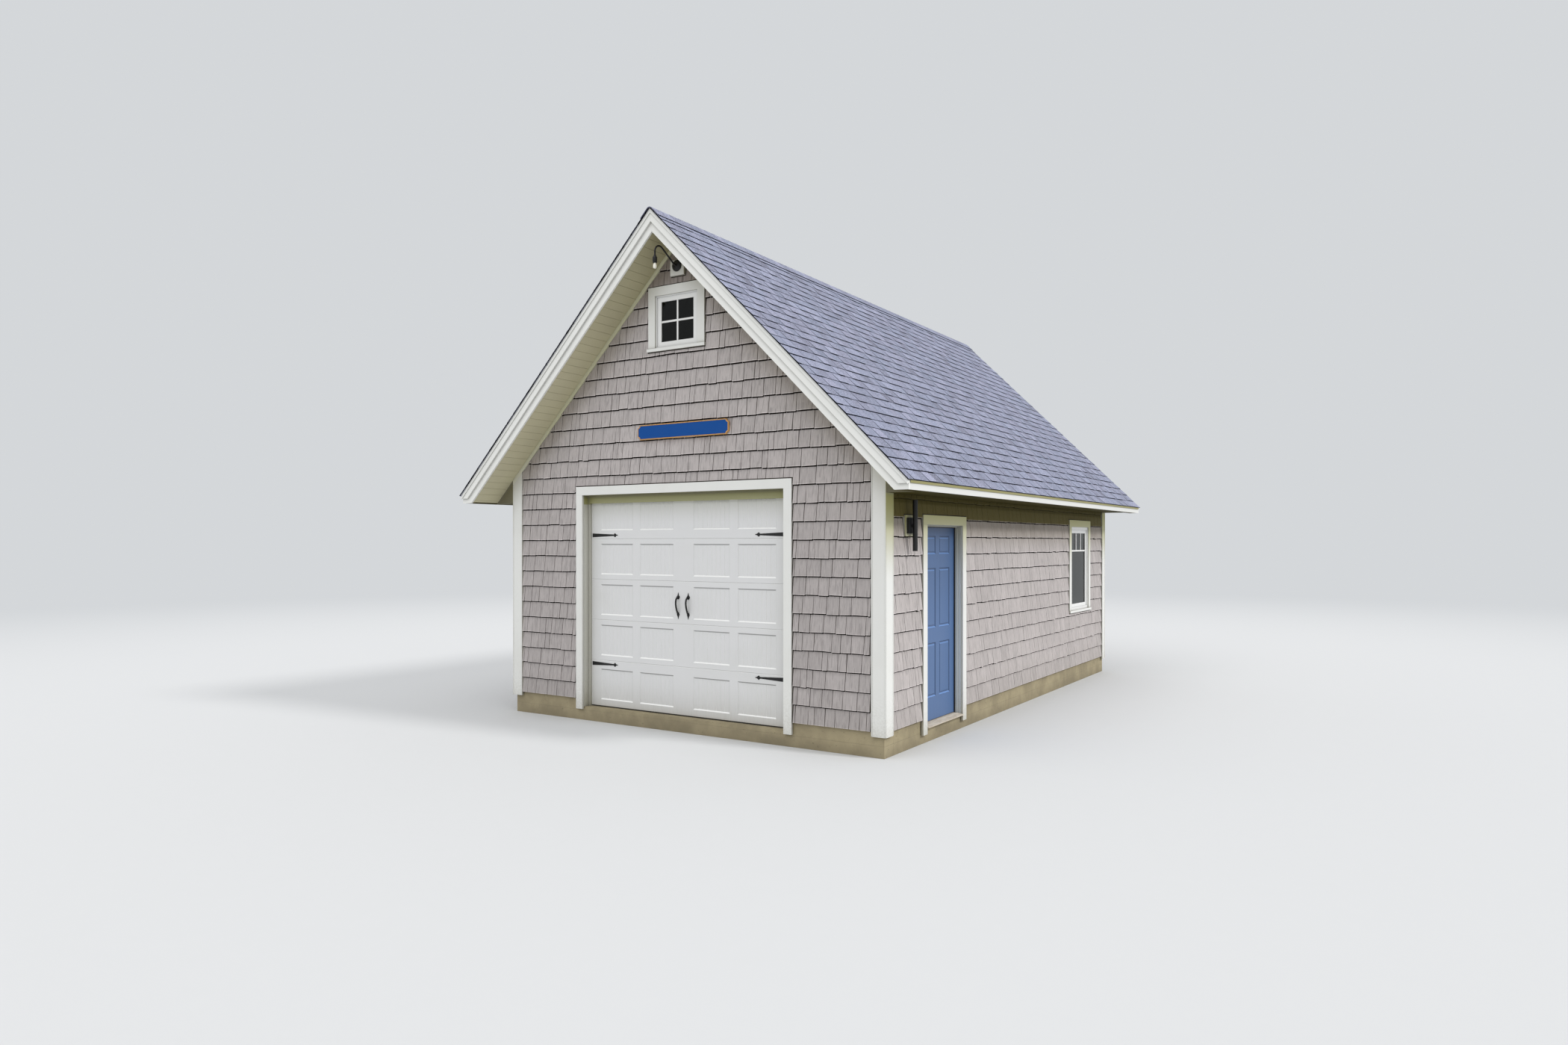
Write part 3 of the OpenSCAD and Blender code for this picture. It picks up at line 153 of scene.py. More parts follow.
class Shade:
    """A material in the making; its nodes come from node() and from Wire."""

    def __init__(self, name, owners=None):
        self.owner = (bpy.data.materials if owners is None else owners).new(name)
        self.owner.use_nodes = True
        self.tree = self.owner.node_tree
        self.tree.nodes.clear()
        self.base = None
        self.where = self.node("ShaderNodeTexCoord", out="Object") if owners is None else None

    def node(self, kind, settings=None, values=None, out=0):
        """A node with its settings made first, then its sockets; gives one output."""
        made = self.tree.nodes.new(kind)
        for key, value in (settings or {}).items():
            setattr(made, key, value)
        for key, value in (values or {}).items():
            if isinstance(value, Wire):
                self.tree.links.new(value.socket, made.inputs[key])
            else:
                made.inputs[key].default_value = value
        return Wire(self, made.outputs[out]) if len(made.outputs) else None

    def math(self, operation, a, b=0.0, clamp=False):
        """A Math node on one or two wires or numbers."""
        return self.node("ShaderNodeMath", {"operation": operation, "use_clamp": clamp}, {0: a, 1: b})

    def scaled(self, factors, shift=(0, 0, 0)):
        """Object coordinates stretched by three factors and shifted."""
        return self.node("ShaderNodeVectorMath", {"operation": "MULTIPLY_ADD"},
                         {0: self.where, 1: factors, 2: shift})

    def axis(self, index):
        """One of the object coordinates."""
        return self.node("ShaderNodeSeparateXYZ", None, {0: self.where}, out=index)

    def noise(self, factors, detail=3.0, rough=0.55, shift=(0, 0, 0)):
        """Noise whose three numbers of waves in a metre are given."""
        return self.node("ShaderNodeTexNoise", None,
                         {"Vector": self.scaled(factors, shift), "Scale": 1.0, "Detail": detail,
                          "Roughness": rough})

    def band(self, wire, low, high):
        """0 below one level, 1 above the other, and smooth between them."""
        return self.node("ShaderNodeMapRange", {"interpolation_type": "SMOOTHSTEP"},
                         {"Value": wire, "From Min": low, "From Max": high})

    def mix(self, factor, a, b):
        """Colour a where the factor is 0 and b where it is 1."""
        def solid(colour):
            return colour if isinstance(colour, Wire) else (*colour[:3], 1.0)
        return self.node("ShaderNodeMix", {"data_type": "RGBA"},
                         {0: factor, 6: solid(a), 7: solid(b)}, out=2)

    def tone(self):
        """Number that each face of a piece carries."""
        return self.node("ShaderNodeAttribute", {"attribute_name": "tone"}, out="Fac")

    def crevice(self, reach, gain=1.0):
        """1 deep in corners and joints narrower than the reach, 0 on open faces."""
        open_sky = self.node("ShaderNodeAmbientOcclusion", {"samples": 8}, {"Distance": reach}, out="AO")
        return self.math("MULTIPLY", 1.0 - open_sky, gain, clamp=True)

    def facing(self, sign, axis="Z"):
        """1 on faces that look along an axis (sign 1) or against it (sign -1), 0 square to it."""
        normal = self.node("ShaderNodeNewGeometry", out="Normal")
        part = self.node("ShaderNodeSeparateXYZ", None, {0: normal}, out=axis)
        return self.band(part * float(sign), 0.12, 0.7)

    def zone(self, reaches):
        """1 where the distance along each (axis, start, full) is past its full, 0 before its start."""
        mask = 1.0
        for axis, start, full in reaches:
            mask = self.band(self.math("ABSOLUTE", self.axis(axis)), start, full) * mask
        return mask

    def seen(self):
        """1 on rays from the camera, off a mirror and through clear glass."""
        rays = [self.node("ShaderNodeLightPath", out=f"Is {kind} Ray")
                for kind in ("Camera", "Glossy", "Transmission")]
        return self.math("ADD", rays[0] + rays[1], rays[2], clamp=True)

    def bump(self, height, distance):
        """Normal of a relief whose full height is the distance."""
        return self.node("ShaderNodeBump", None, {"Height": height, "Distance": distance})

    def coat(self, amount, colour):
        """Lays a colour over the base by an amount, a number or a wire."""
        self.base = self.mix(amount, self.base, colour)

    def surface(self, **sockets):
        """Ends the material in a Principled shader with the base and the given sockets."""
        values = {key.replace("_", " ").title().replace("Ior", "IOR"): value
                  for key, value in sockets.items()}
        shader = self.node("ShaderNodeBsdfPrincipled", None, {"Base Color": self.base, **values})
        self.node("ShaderNodeOutputMaterial", None, {"Surface": shader})
        return self.owner


def shake_finish(name, colour, eave=None, peak=None):
    """Warm grey shakes: each with its own tone and striations, with painted shade under the roof's edge.

    eave is the level of the course line under an eave, and peak that of the siding's top.
    """
    s = Shade(name)
    tone = s.tone()
    shift = tone * 61.0
    grain = s.noise((330, 330, 1.6), 2.0, 0.6, shift)
    ribs = s.noise((92, 92, 0.22), 1.0, 0.5, shift)
    weather = s.noise((0.9, 0.9, 1.4), 3.0, 0.5)
    splits = s.band(s.noise((62, 62, 0.3), 0.0, 0.5, shift), 0.63, 0.68)
    dark = times(colour, 0.84)
    light = times(colour, 1.16)
    s.base = s.mix(tone * 0.62 + weather * 0.38, dark, light)
    s.coat(s.band(ribs, 0.44, 0.66) * 0.19, times(colour, 0.55))
    s.coat(s.band(1.0 - ribs, 0.48, 0.68) * 0.16, times(colour, 1.4))
    s.coat(s.band(grain, 0.48, 0.64) * 0.14, times(colour, 0.50))
    s.coat(splits * 0.26, times(colour, 0.36))
    soil = (1.0 - s.band(s.axis("Z"), 0.24, 0.62)) * weather * 0.25
    s.coat(soil, srgb(120, 112, 98))
    if eave:
        # Painted olive shade under the eave: rising up the wall, deeper above the course line under the
        # eave, deepest near the soffit
        s.coat(s.zone([("Z", 1.84, 2.20)]) * 0.46, srgb(98, 84, 42))
        s.coat(s.zone([("Z", eave - 0.004, eave + 0.01)]) * 0.92, srgb(84, 75, 8))
        s.coat(s.zone([("Z", SHADED_Z, SHADED_Z + 0.025)]) * 0.9, srgb(72, 64, 10))
    if peak:
        # Darker towards the bottom of the gables; painted shade under the rakes and near the peak
        under = peak - s.axis("Z") - s.math("ABSOLUTE", s.axis("X")) * SLOPE
        s.coat((1.0 - s.zone([("Z", 1.6, 3.2)])) * 0.18, times(colour, 0.45))
        s.coat((1.0 - s.band(under, 0.02, 0.42)) * 0.34, srgb(98, 84, 50))
        s.coat(s.zone([("Z", peak - 0.62, peak - 0.30)]) * 0.40, srgb(86, 68, 44))
    normal = s.bump(0.4 - ribs * 0.6 - grain * 0.5 - splits * 0.6, 0.0020)
    return s.surface(roughness=0.66 + grain * 0.2, specular_ior_level=0.25, normal=normal)


def backing_finish():
    """Bed painted dark as shade: darkest under the butts and in the channels, paler between shakes."""
    s = Shade("siding_bed")
    bed_mottle = s.noise((18, 18, 6), 3.0)
    s.base = s.mix(s.tone(), srgb(26, 20, 15), srgb(92, 84, 76))
    s.coat(bed_mottle * 0.4, srgb(30, 28, 25))
    # Painted olive shade on the bed of the side walls under the eaves
    s.coat(s.zone([("X", WALL_X, WALL_X + 0.002), ("Z", SHADED_Z, SHADED_Z + 0.02)]) * 0.85,
           srgb(58, 51, 10))
    return s.surface(roughness=0.85, specular_ior_level=0.15, normal=s.bump(bed_mottle, 0.001))


def shingle_finish(name, colour, sheen=0.5):
    """Blue-grey mineral granules, with a tone and a hue for each tab."""
    s = Shade(name)
    grit = s.noise((420, 420, 420), 2.0, 0.6)
    clumps = s.noise((112, 64, 112), 2.0, 0.7)
    streaks = s.noise((1.6, 7.0, 1.6), 3.0, 0.5)
    hue = s.math("FRACT", s.tone() * 13.7)
    dark = times(colour, 0.40)
    light = times(colour, 1.74)
    s.base = s.mix(s.tone() * 0.70 + streaks * 0.30, dark, light)
    s.coat(hue * 0.46, (colour[0] * 0.90, colour[1] * 1.08, colour[2] * 1.12))
    s.coat(s.band(clumps, 0.50, 0.60) * 0.46, times(colour, 2.1))
    s.coat(s.band(1.0 - clumps, 0.50, 0.60) * 0.46, times(colour, 0.30))
    s.coat(s.band(grit, 0.54, 0.66) * 0.30, times(colour, 1.9))
    s.coat(s.band(1.0 - grit, 0.56, 0.68) * 0.40, times(colour, 0.36))
    normal = s.bump(grit * 0.6 + clumps * 0.4, 0.0026)
    return s.surface(roughness=0.86 + grit * 0.1, specular_ior_level=sheen, normal=normal)


def paint_finish(name, colour, soil=0.5, grain=0.5, roughness=0.42, nook_shade=0.0, crease_shade=0.75, painted_shades=(),
                 sheen=0.5):
    """Painted boards: faint grain along them, soil in blotches and low down, painted shade in nooks and
    creases.

    Each zone given as (reaches of a zone, amount, colour) adds more painted shade.
    """
    s = Shade(name)
    fibre = s.noise((60, 60, 60), 4.0, 0.6)
    sweep = s.noise((22, 22, 1.3), 3.0, 0.5)
    cloud = s.noise((2.1, 2.1, 2.1), 4.0, 0.55)
    low = 1.0 - s.band(s.axis("Z"), 0.14, 0.75)
    s.base = s.mix(sweep * 0.16 * grain, colour, times(colour, 0.80))
    s.coat(s.band(cloud, 0.42, 0.75) * 0.16 * soil, srgb(170, 166, 148))
    s.coat(low * s.band(fibre, 0.35, 0.7) * 0.35 * soil, srgb(128, 120, 98))
    # Painted olive shade in nooks
    if nook_shade:
        s.coat(s.crevice(0.34, 1.35) * nook_shade, srgb(118, 110, 66))
    # Each zone given adds painted shade
    for reaches, amount, tint in painted_shades:
        s.coat(s.zone(reaches) * amount, tint)
    # Painted shade in creases
    s.coat(s.crevice(0.035, 1.1) * crease_shade, times(colour, 0.30))
    normal = s.bump(sweep * 0.6 + fibre * 0.4, 0.0007 * grain)
    return s.surface(roughness=roughness + cloud * 0.14, specular_ior_level=sheen, normal=normal)


def drip_finish(name, colour, level):
    """Painted boards whose drip strip, above a level, is painted olive as shade under the shingles."""
    s = Shade(name)
    fibre = s.noise((40, 9, 40), 4.0, 0.6)
    sweep = s.noise((22, 1.3, 22), 3.0, 0.5)
    strip = s.band(s.axis("Z"), level - 0.010, level + 0.004)
    s.base = s.mix(sweep * 0.10, times(colour, 0.93), times(colour, 0.76))
    s.coat(strip * (sweep * 0.2 + 0.80), srgb(136, 128, 44))
    # Painted shade in creases
    s.coat(s.crevice(0.03, 1.2) * 0.7, times(colour, 0.30))
    return s.surface(roughness=0.44 + fibre * 0.12, normal=s.bump(sweep + fibre, 0.0005))


def leaf_finish(colour, top):
    """Blue door paint: painted highlights on the mouldings' ledges, painted shade under them and in
    crevices.
    """
    s = Shade("leaf_paint")
    fibre = s.noise((70, 70, 70), 3.0, 0.6)
    sweep = s.noise((24, 24, 1.6), 3.0, 0.5)
    cloud = s.noise((2.4, 2.4, 2.4), 4.0, 0.55)
    s.base = s.mix(sweep * 0.14, colour, times(colour, 0.78))
    s.coat(s.band(cloud, 0.45, 0.8) * 0.12, times(colour, 1.5))
    # Painted shade in crevices and towards the top
    s.coat(s.crevice(0.016, 1.6) * 0.72, times(colour, 0.26))
    s.coat(s.zone([("Z", top - 1.1, top)]) * 0.45, times(colour, 0.5))
    s.coat(s.zone([("Z", top - 0.24, top)]) * 0.5, times(colour, 0.34))
    # Painted shade on faces that look down and on faces that look away from the key light
    s.coat(s.facing(-1) * 0.7, times(colour, 0.30))
    s.coat(s.facing(-1, "Y") * 0.6, times(colour, 0.30))
    # Painted highlight on faces that look up
    s.coat(s.facing(1) * 0.8, times(colour, 2.2))
    return s.surface(roughness=0.36 + cloud * 0.16, normal=s.bump(sweep + fibre, 0.0004))


def pressed_steel_finish(colour, top):
    """White sectional-door skin: pressed wood grain under a satin paint, with painted light and shade.
    """
    s = Shade("pressed_steel_paint")
    fibre = s.noise((150, 20, 5.0), 5.0, 0.6)
    ripple = s.noise((30, 10, 1.8), 3.0, 0.5)
    cloud = s.noise((1.6, 1.6, 2.4), 4.0, 0.5)
    low = 1.0 - s.band(s.axis("Z"), 0.16, 0.55)
    s.base = s.mix(ripple * 0.06, colour, times(colour, 0.86))
    s.coat(s.band(cloud, 0.45, 0.8) * 0.14, srgb(196, 196, 186))
    s.coat(low * (0.12 + s.band(fibre, 0.4, 0.75) * 0.10), srgb(140, 132, 112))
    # Painted olive shade in the recesses and at the top
    s.coat(s.crevice(0.30, 1.3) * 0.30, srgb(124, 120, 92))
    s.coat(s.zone([("Z", top - 0.34, top)]) * 0.26, srgb(146, 146, 96))
    # Painted light in the narrow grooves, and a painted highlight on faces that look up
    s.coat(s.crevice(0.010, 2.4) * 0.5, srgb(246, 246, 244))
    s.coat(s.facing(1) * 0.9, srgb(252, 252, 250))
    # Painted shade on faces that look down
    s.coat(s.facing(-1) * 0.72, times(colour, 0.26))
    normal = s.bump(fibre * 0.7 + ripple * 0.3, 0.0004)
    return s.surface(roughness=0.36 + cloud * 0.18, normal=normal)


def concrete_finish(colour):
    """Cast concrete: blotches, sand, pin holes and a damp foot."""
    s = Shade("cast_concrete")
    cloud = s.noise((3.4, 3.4, 3.4), 5.0, 0.6)
    sand = s.noise((240, 240, 240), 3.0, 0.6)
    run = s.noise((9, 9, 1.2), 3.0, 0.5)
    holes = s.band(s.noise((38, 38, 38), 1.0, 0.4), 0.70, 0.76)
    damp = 1.0 - s.band(s.axis("Z") + cloud * 0.08, 0.03, 0.20)
    s.base = s.mix(s.band(cloud, 0.3, 0.72), times(colour, 0.76), times(colour, 1.12))
    seams = s.band(s.math("PINGPONG", s.axis("Z") + 0.03, 0.07), 0.003, 0.0005)
    s.coat(run * 0.25, srgb(138, 128, 108))
    s.coat(damp * 0.4, srgb(108, 99, 80))
    s.coat(holes * 0.3, srgb(82, 76, 62))
    s.coat(seams * cloud * 0.3, srgb(96, 89, 74))
    normal = s.bump(sand * 0.5 + cloud * 0.5 - holes - seams * 0.5, 0.0025)
    return s.surface(roughness=0.86 + sand * 0.1, normal=normal)


def lumber_finish(colour):
    """Unpainted boards with growth rings and knots."""
    s = Shade("bare_lumber")
    ring = s.noise((14, 2.2, 14), 4.0, 0.6)
    fibre = s.noise((90, 9, 90), 4.0, 0.6)
    knots = s.band(s.noise((3.1, 1.3, 3.1), 1.0, 0.3), 0.72, 0.80)
    s.base = s.mix(s.band(ring, 0.35, 0.65) * 0.55 + fibre * 0.25, colour, times(colour, 0.62))
    s.coat(knots * 0.7, srgb(98, 62, 34))
    return s.surface(roughness=0.66 + fibre * 0.2, normal=s.bump(fibre + ring, 0.0012))


def hardware_finish():
    """Black powder coat with a fine orange peel and dust on it."""
    s = Shade("black_hardware")
    peel = s.noise((320, 320, 320), 2.0, 0.5)
    dust = s.noise((12, 12, 12), 4.0, 0.6)
    s.base = s.mix(s.band(dust, 0.45, 0.8) * 0.35, srgb(7, 7, 8), srgb(26, 26, 25))
    return s.surface(roughness=0.40 + dust * 0.25, normal=s.bump(peel, 0.0004))


def rubber_finish(name):
    """Black rubber, dusty in patches."""
    s = Shade(name)
    dust = s.noise((30, 30, 60), 4.0, 0.6)
    s.base = s.mix(dust * 0.6, srgb(24, 24, 24), srgb(88, 84, 76))
    return s.surface(roughness=0.72 + dust * 0.2, normal=s.bump(dust, 0.0008))


def threshold_finish():
    """Weathered sill: pale, scuffed, with worn streaks along it."""
    s = Shade("worn_threshold")
    scuff = s.noise((30, 6, 30), 5.0, 0.65)
    spot = s.noise((14, 14, 14), 4.0, 0.6)
    s.base = s.mix(s.band(scuff, 0.4, 0.7), srgb(206, 196, 180), srgb(184, 170, 152))
    s.coat(s.band(spot, 0.55, 0.75) * 0.25, srgb(132, 120, 100))
    return s.surface(roughness=0.6 + scuff * 0.2, normal=s.bump(scuff, 0.0008))


def glass_finish(name, colour, roughness):
    """Window glass with a little dust that dulls it in patches."""
    s = Shade(name)
    film = s.noise((7, 7, 4), 4.0, 0.6)
    s.base = s.mix(film * 0.3, colour, times(colour, 0.8))
    return s.surface(roughness=roughness + s.band(film, 0.5, 0.9) * 0.05,
                     ior=1.30, transmission_weight=1.0, normal=s.bump(film, 0.0002))


def bulb_finish():
    """Opal bulb, switched off."""
    s = Shade("opal_bulb")
    film = s.noise((60, 60, 60), 3.0)
    s.base = s.mix(film * 0.3, srgb(246, 244, 232), srgb(222, 216, 196))
    return s.surface(roughness=0.2 + film * 0.1, coat_weight=0.3)


def gilt_finish():
    """Gold leaf on the edge of the name board, rubbed in places."""
    s = Shade("gilt_edge")
    rub = s.noise((40, 40, 40), 4.0, 0.6)
    s.base = s.mix(s.band(rub, 0.5, 0.8) * 0.7, srgb(204, 156, 96), srgb(128, 84, 50))
    return s.surface(roughness=0.42 + rub * 0.2, metallic=0.25, normal=s.bump(rub, 0.0008))


# Meshes


class Form:
    """Points and faces of one piece, each face with a tone and a material's place."""

    def __init__(self):
        self.points, self.faces, self.tones, self.kinds = [], [], [], []

    def _faces(self, faces, tone, kind):
        self.faces += faces
        self.tones += [tone] * len(faces)
        self.kinds += [kind] * len(faces)

    def loft(self, rings, tone=0.5, kind=0, sides=None):
        """Closed skin through rings that have as many points each, capped at both ends.

        sides may give the material's place of each face between two rings.
        """
        start, count = len(self.points), len(rings[0])
        for ring in rings:
            self.points += [tuple(p) for p in ring]
        for r in range(len(rings) - 1):
            a, b = start + r * count, start + (r + 1) * count
            for i in range(count):
                self._faces([(a + i, a + (i + 1) % count, b + (i + 1) % count, b + i)], tone,
                            sides[r][i] if sides else kind)
        last = start + (len(rings) - 1) * count
        self._faces([tuple(range(start, start + count)), tuple(range(last, last + count))], tone, kind)

    def prism(self, outline, place, back, front, chamfer=0.0, tone=0.5, kind=0, paint=None, lip=None):
        """Raises an outline of (u, v) from a depth to a front, whose edges are chamfered.

        place turns (u, v, depth) into a point; front is a depth or a function of (u, v).
        paint turns an edge's two ends into the materials' places of its side and its chamfer.
        lip is (level, height) of the taller chamfers on the points below a level of v.
        """
        sides = None
        if paint:
            edges = [paint(p, q) for p, q in zip(outline, outline[1:] + outline[:1])]
            sides = [[edge[0] for edge in edges], [edge[1] for edge in edges]]
        reach = front if callable(front) else (lambda u, v: front)
        mid_u = sum(p[0] for p in outline) / len(outline)
        mid_v = sum(p[1] for p in outline) / len(outline)

        def drawn(u, v):
            cut_u = min(chamfer, abs(mid_u - u) * 0.5)
            cut_v = min(lip[1] if lip and v < lip[0] else chamfer, abs(mid_v - v) * 0.5)
            return (u + math.copysign(cut_u, mid_u - u), v + math.copysign(cut_v, mid_v - v))

        rings = [[place(u, v, back) for u, v in outline]]
        if chamfer:
            rings.append([place(u, v, reach(u, v) - chamfer) for u, v in outline])
            rings.append([place(*drawn(u, v), reach(u, v)) for u, v in outline])
        else:
            rings.append([place(u, v, reach(u, v)) for u, v in outline])
        self.loft(rings, tone, kind, sides)

    def bar(self, low, high, chamfer=0.001, tone=0.5, kind=0):
        """Box with all its edges chamfered."""
        low, high, c = Vector(low), Vector(high), chamfer

        def ring(z, inset):
            x0, y0, x1, y1 = low.x + inset, low.y + inset, high.x - inset, high.y - inset
            return [(x0 + c, y0, z), (x1 - c, y0, z), (x1, y0 + c, z), (x1, y1 - c, z),
                    (x1 - c, y1, z), (x0 + c, y1, z), (x0, y1 - c, z), (x0, y0 + c, z)]

        self.loft([ring(low.z, c), ring(low.z + c, 0), ring(high.z - c, 0), ring(high.z, c)], tone, kind)

    def turned(self, profile, centre, axis, side, steps=32, tone=0.5, kind=0):
        """Skin turned round an axis from (radius, distance along it) points."""
        axis, side = Vector(axis), Vector(side)
        other = axis.cross(side)
        self.loft([round_ring(Vector(centre) + axis * along, side, other, radius, steps)
                   for radius, along in profile], tone, kind)

    def tube(self, path, radius, side, steps=16, tone=0.5, kind=0):
        """Round tube along a path that lies square to side."""
        side, rings = Vector(side), []
        for i, point in enumerate(path):
            before, after = path[max(i - 1, 0)], path[min(i + 1, len(path) - 1)]
            other = (Vector(after) - Vector(before)).normalized().cross(side)
            rings.append(round_ring(Vector(point), side, other, radius, steps))
        self.loft(rings, tone, kind)

    def piece(self, name, materials, slot, replaces=(), body=BODY, smooth=None):
        """Makes the object, which rides on a body and may stand for CAD nodes."""
        mesh = bpy.data.meshes.new(name)
        mesh.from_pydata(self.points, [], self.faces)
        mesh.attributes.new("tone", "FLOAT", "FACE").data.foreach_set("value", self.tones)
        mesh.polygons.foreach_set("material_index", self.kinds)
        for material in materials if isinstance(materials, (list, tuple)) else [materials]:
            mesh.materials.append(material)
        form = bmesh.new()
        form.from_mesh(mesh)
        bmesh.ops.recalc_face_normals(form, faces=form.faces)
        form.to_mesh(mesh)
        form.free()
        made = bpy.data.objects.new(name, mesh)
        bpy.context.scene.collection.objects.link(made)
        if smooth:
            mesh.shade_smooth()
            mesh.set_sharp_from_angle(angle=math.radians(smooth))
        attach(made, body)
        if replaces:
            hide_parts(*replaces)
        return made


def round_ring(centre, side, other, radius, steps):
    """Points of a circle in the plane of two directions."""
    turn = [2 * math.pi * i / steps for i in range(steps)]
    return [centre + side * radius * math.cos(a) + other * radius * math.sin(a) for a in turn]


def clip(outline, a, b, c):
    """Part of an outline where a * u + b * v <= c."""
    kept = []
    for i, p in enumerate(outline):
        q = outline[(i + 1) % len(outline)]
        here, there = a * p[0] + b * p[1] - c, a * q[0] + b * q[1] - c
        if here <= 0:
            kept.append(p)
        if here * there < 0:
            t = here / (here - there)
            kept.append((p[0] + t * (q[0] - p[0]), p[1] + t * (q[1] - p[1])))
    return kept


def big_enough(outline, least=0.004):
    """Whether an outline is more than a sliver."""
    if len(outline) < 3:
        return False
    us, vs = [p[0] for p in outline], [p[1] for p in outline]
    return max(us) - min(us) > least and max(vs) - min(vs) > least


def trimmed(outline, limits, holes):
    """An outline cut by half planes and round holes (u0, v0, u1, v1), as convex parts."""
    for limit in limits:
        outline = clip(outline, *limit)
        if not big_enough(outline):
            return []
    parts = [outline]
    for u0, v0, u1, v1 in holes:
        left = []
        for part in parts:
            middle = clip(clip(part, 1, 0, u1), -1, 0, -u0)
            left += [clip(part, 1, 0, u0), clip(part, -1, 0, -u1),
                     clip(middle, 0, 1, v0), clip(middle, 0, -1, -v1)]
        parts = [p for p in left if big_enough(p)]
    return parts


def finish_node(material, *names):
    """Gives CAD nodes a material."""
    for name in names:
        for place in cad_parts[name].material_slots:
            place.material = material


def grown(box, u, v, margin):
    """Hole (u0, v0, u1, v1) round a box, on two of its axes."""
    low, high = box
    return (low[u] - margin, low[v] - margin, high[u] + margin, high[v] + margin)


def without_horns(box, axis, horn=0.010):
    """Box of a window's casing without the ends of its sill."""
    low, high = box[0].copy(), box[1].copy()
    low[axis] += horn
    high[axis] -= horn
    return low, high


# Settings


def metres(name, description, default, least, most):
    """A length of the panel."""
    return FloatProperty(name=name, description=description, default=default, min=least, max=most,
                         unit="LENGTH")


class BoathouseSizes(bpy.types.PropertyGroup):
    """Sizes of the fine pieces."""
    shake_gap: metres("Shake Gap", "Joint between two shakes", 0.0042, 0.001, 0.01)
    # The shadow line is a dark strip painted as each butt's shadow
    shadow_line: metres("Shadow Line", "Shaded strip under each butt", 0.0115, 0.001, 0.02)
    # The lip's paleness is a painted highlight on a taller chamfer
    lip: metres("Lip", "Height of the pale lip along each butt", 0.0065, 0.001, 0.02)
    shake_wide: metres("Widest Shake", "Width of the widest shake", 0.182, 0.12, 0.3)
    shake_narrow: metres("Narrowest Shake", "Width of the narrowest shake", 0.066, 0.04, 0.12)
    siding_step: metres("Siding Exposure", "Height of a course on the gable walls", 0.178, 0.1, 0.25)
    side_step: metres("Side Exposure", "Height of a course on the side walls", 0.181, 0.1, 0.25)
    shingle_step: metres("Shingle Exposure", "Length of one shingle course", 0.143, 0.1, 0.2)
    cap_step: metres("Cap Exposure", "Length of one ridge cap that shows", 0.146, 0.1, 0.25)
    plank: metres("Soffit Plank", "Width of one soffit plank", 0.098, 0.05, 0.3)
    channel: metres("Channel", "Dark joint between siding and trim", 0.0105, 0.0, 0.02)
    seed: IntProperty(name="Seed", description="Start of the random widths and tones", default=7, min=0)


def colour(name, description, default):
    """A colour of the panel."""
    return FloatVectorProperty(name=name, description=description, default=default,
                               subtype="COLOR", size=3, min=0.0, max=1.0)


class BoathouseColours(bpy.types.PropertyGroup):
    """Colours of the finishes."""
    siding: colour("Siding", "Paint of the shakes", srgb(184, 177, 175))
    trim: colour("Trim", "Paint of the boards and casings", srgb(229, 229, 225))
    soffit: colour("Soffit", "Finish of the soffits", srgb(202, 196, 164))
    roof: colour("Roof", "Middle tone of the shingles", srgb(129, 131, 150))
    panels: colour("Sectional Door", "Paint of the sectional door", srgb(220, 220, 220))
    leaf: colour("Side Door", "Paint of the side door", srgb(80, 109, 153))
    board: colour("Name Board", "Paint of the name board", srgb(0, 74, 148))
    concrete: colour("Concrete", "Stem walls and floor slab", srgb(162, 150, 120))
    lumber: colour("Lumber", "Framing and sheathing", srgb(206, 176, 128))
    floor: colour("Floor", "The ground that the building stands on", srgb(206, 207, 208))


# Pieces


def tone_of(pick, middle, spread):
    """Random tone of one shake, tab or cap."""
    return min(1.0, max(0.0, pick.gauss(middle, spread)))


def lapped(head, butt, foot, step):
    """Front of a lapped piece: as thick as its butt at its foot, and as its head a step on."""
    return lambda u, v: head + (butt - head) * max(0.0, 1 - (v - foot) / step)


def shake_outline(pick, start, end, butt, tilt, top):
    """Outline of one shake: an uneven butt with eased corners, and slightly slanted sides."""
    corner, rise = 0.009, 0.0022
    slant = pick.uniform(-0.003, 0.003)
    middle = start + (end - start) * pick.uniform(0.35, 0.65)
    return [(start, butt - tilt + rise), (start + corner, butt - tilt),
            (middle, butt + pick.uniform(-0.0008, 0.0012)), (end - corner, butt + tilt),
            (end, butt + tilt + rise), (end + slant, top), (start + slant, top)]


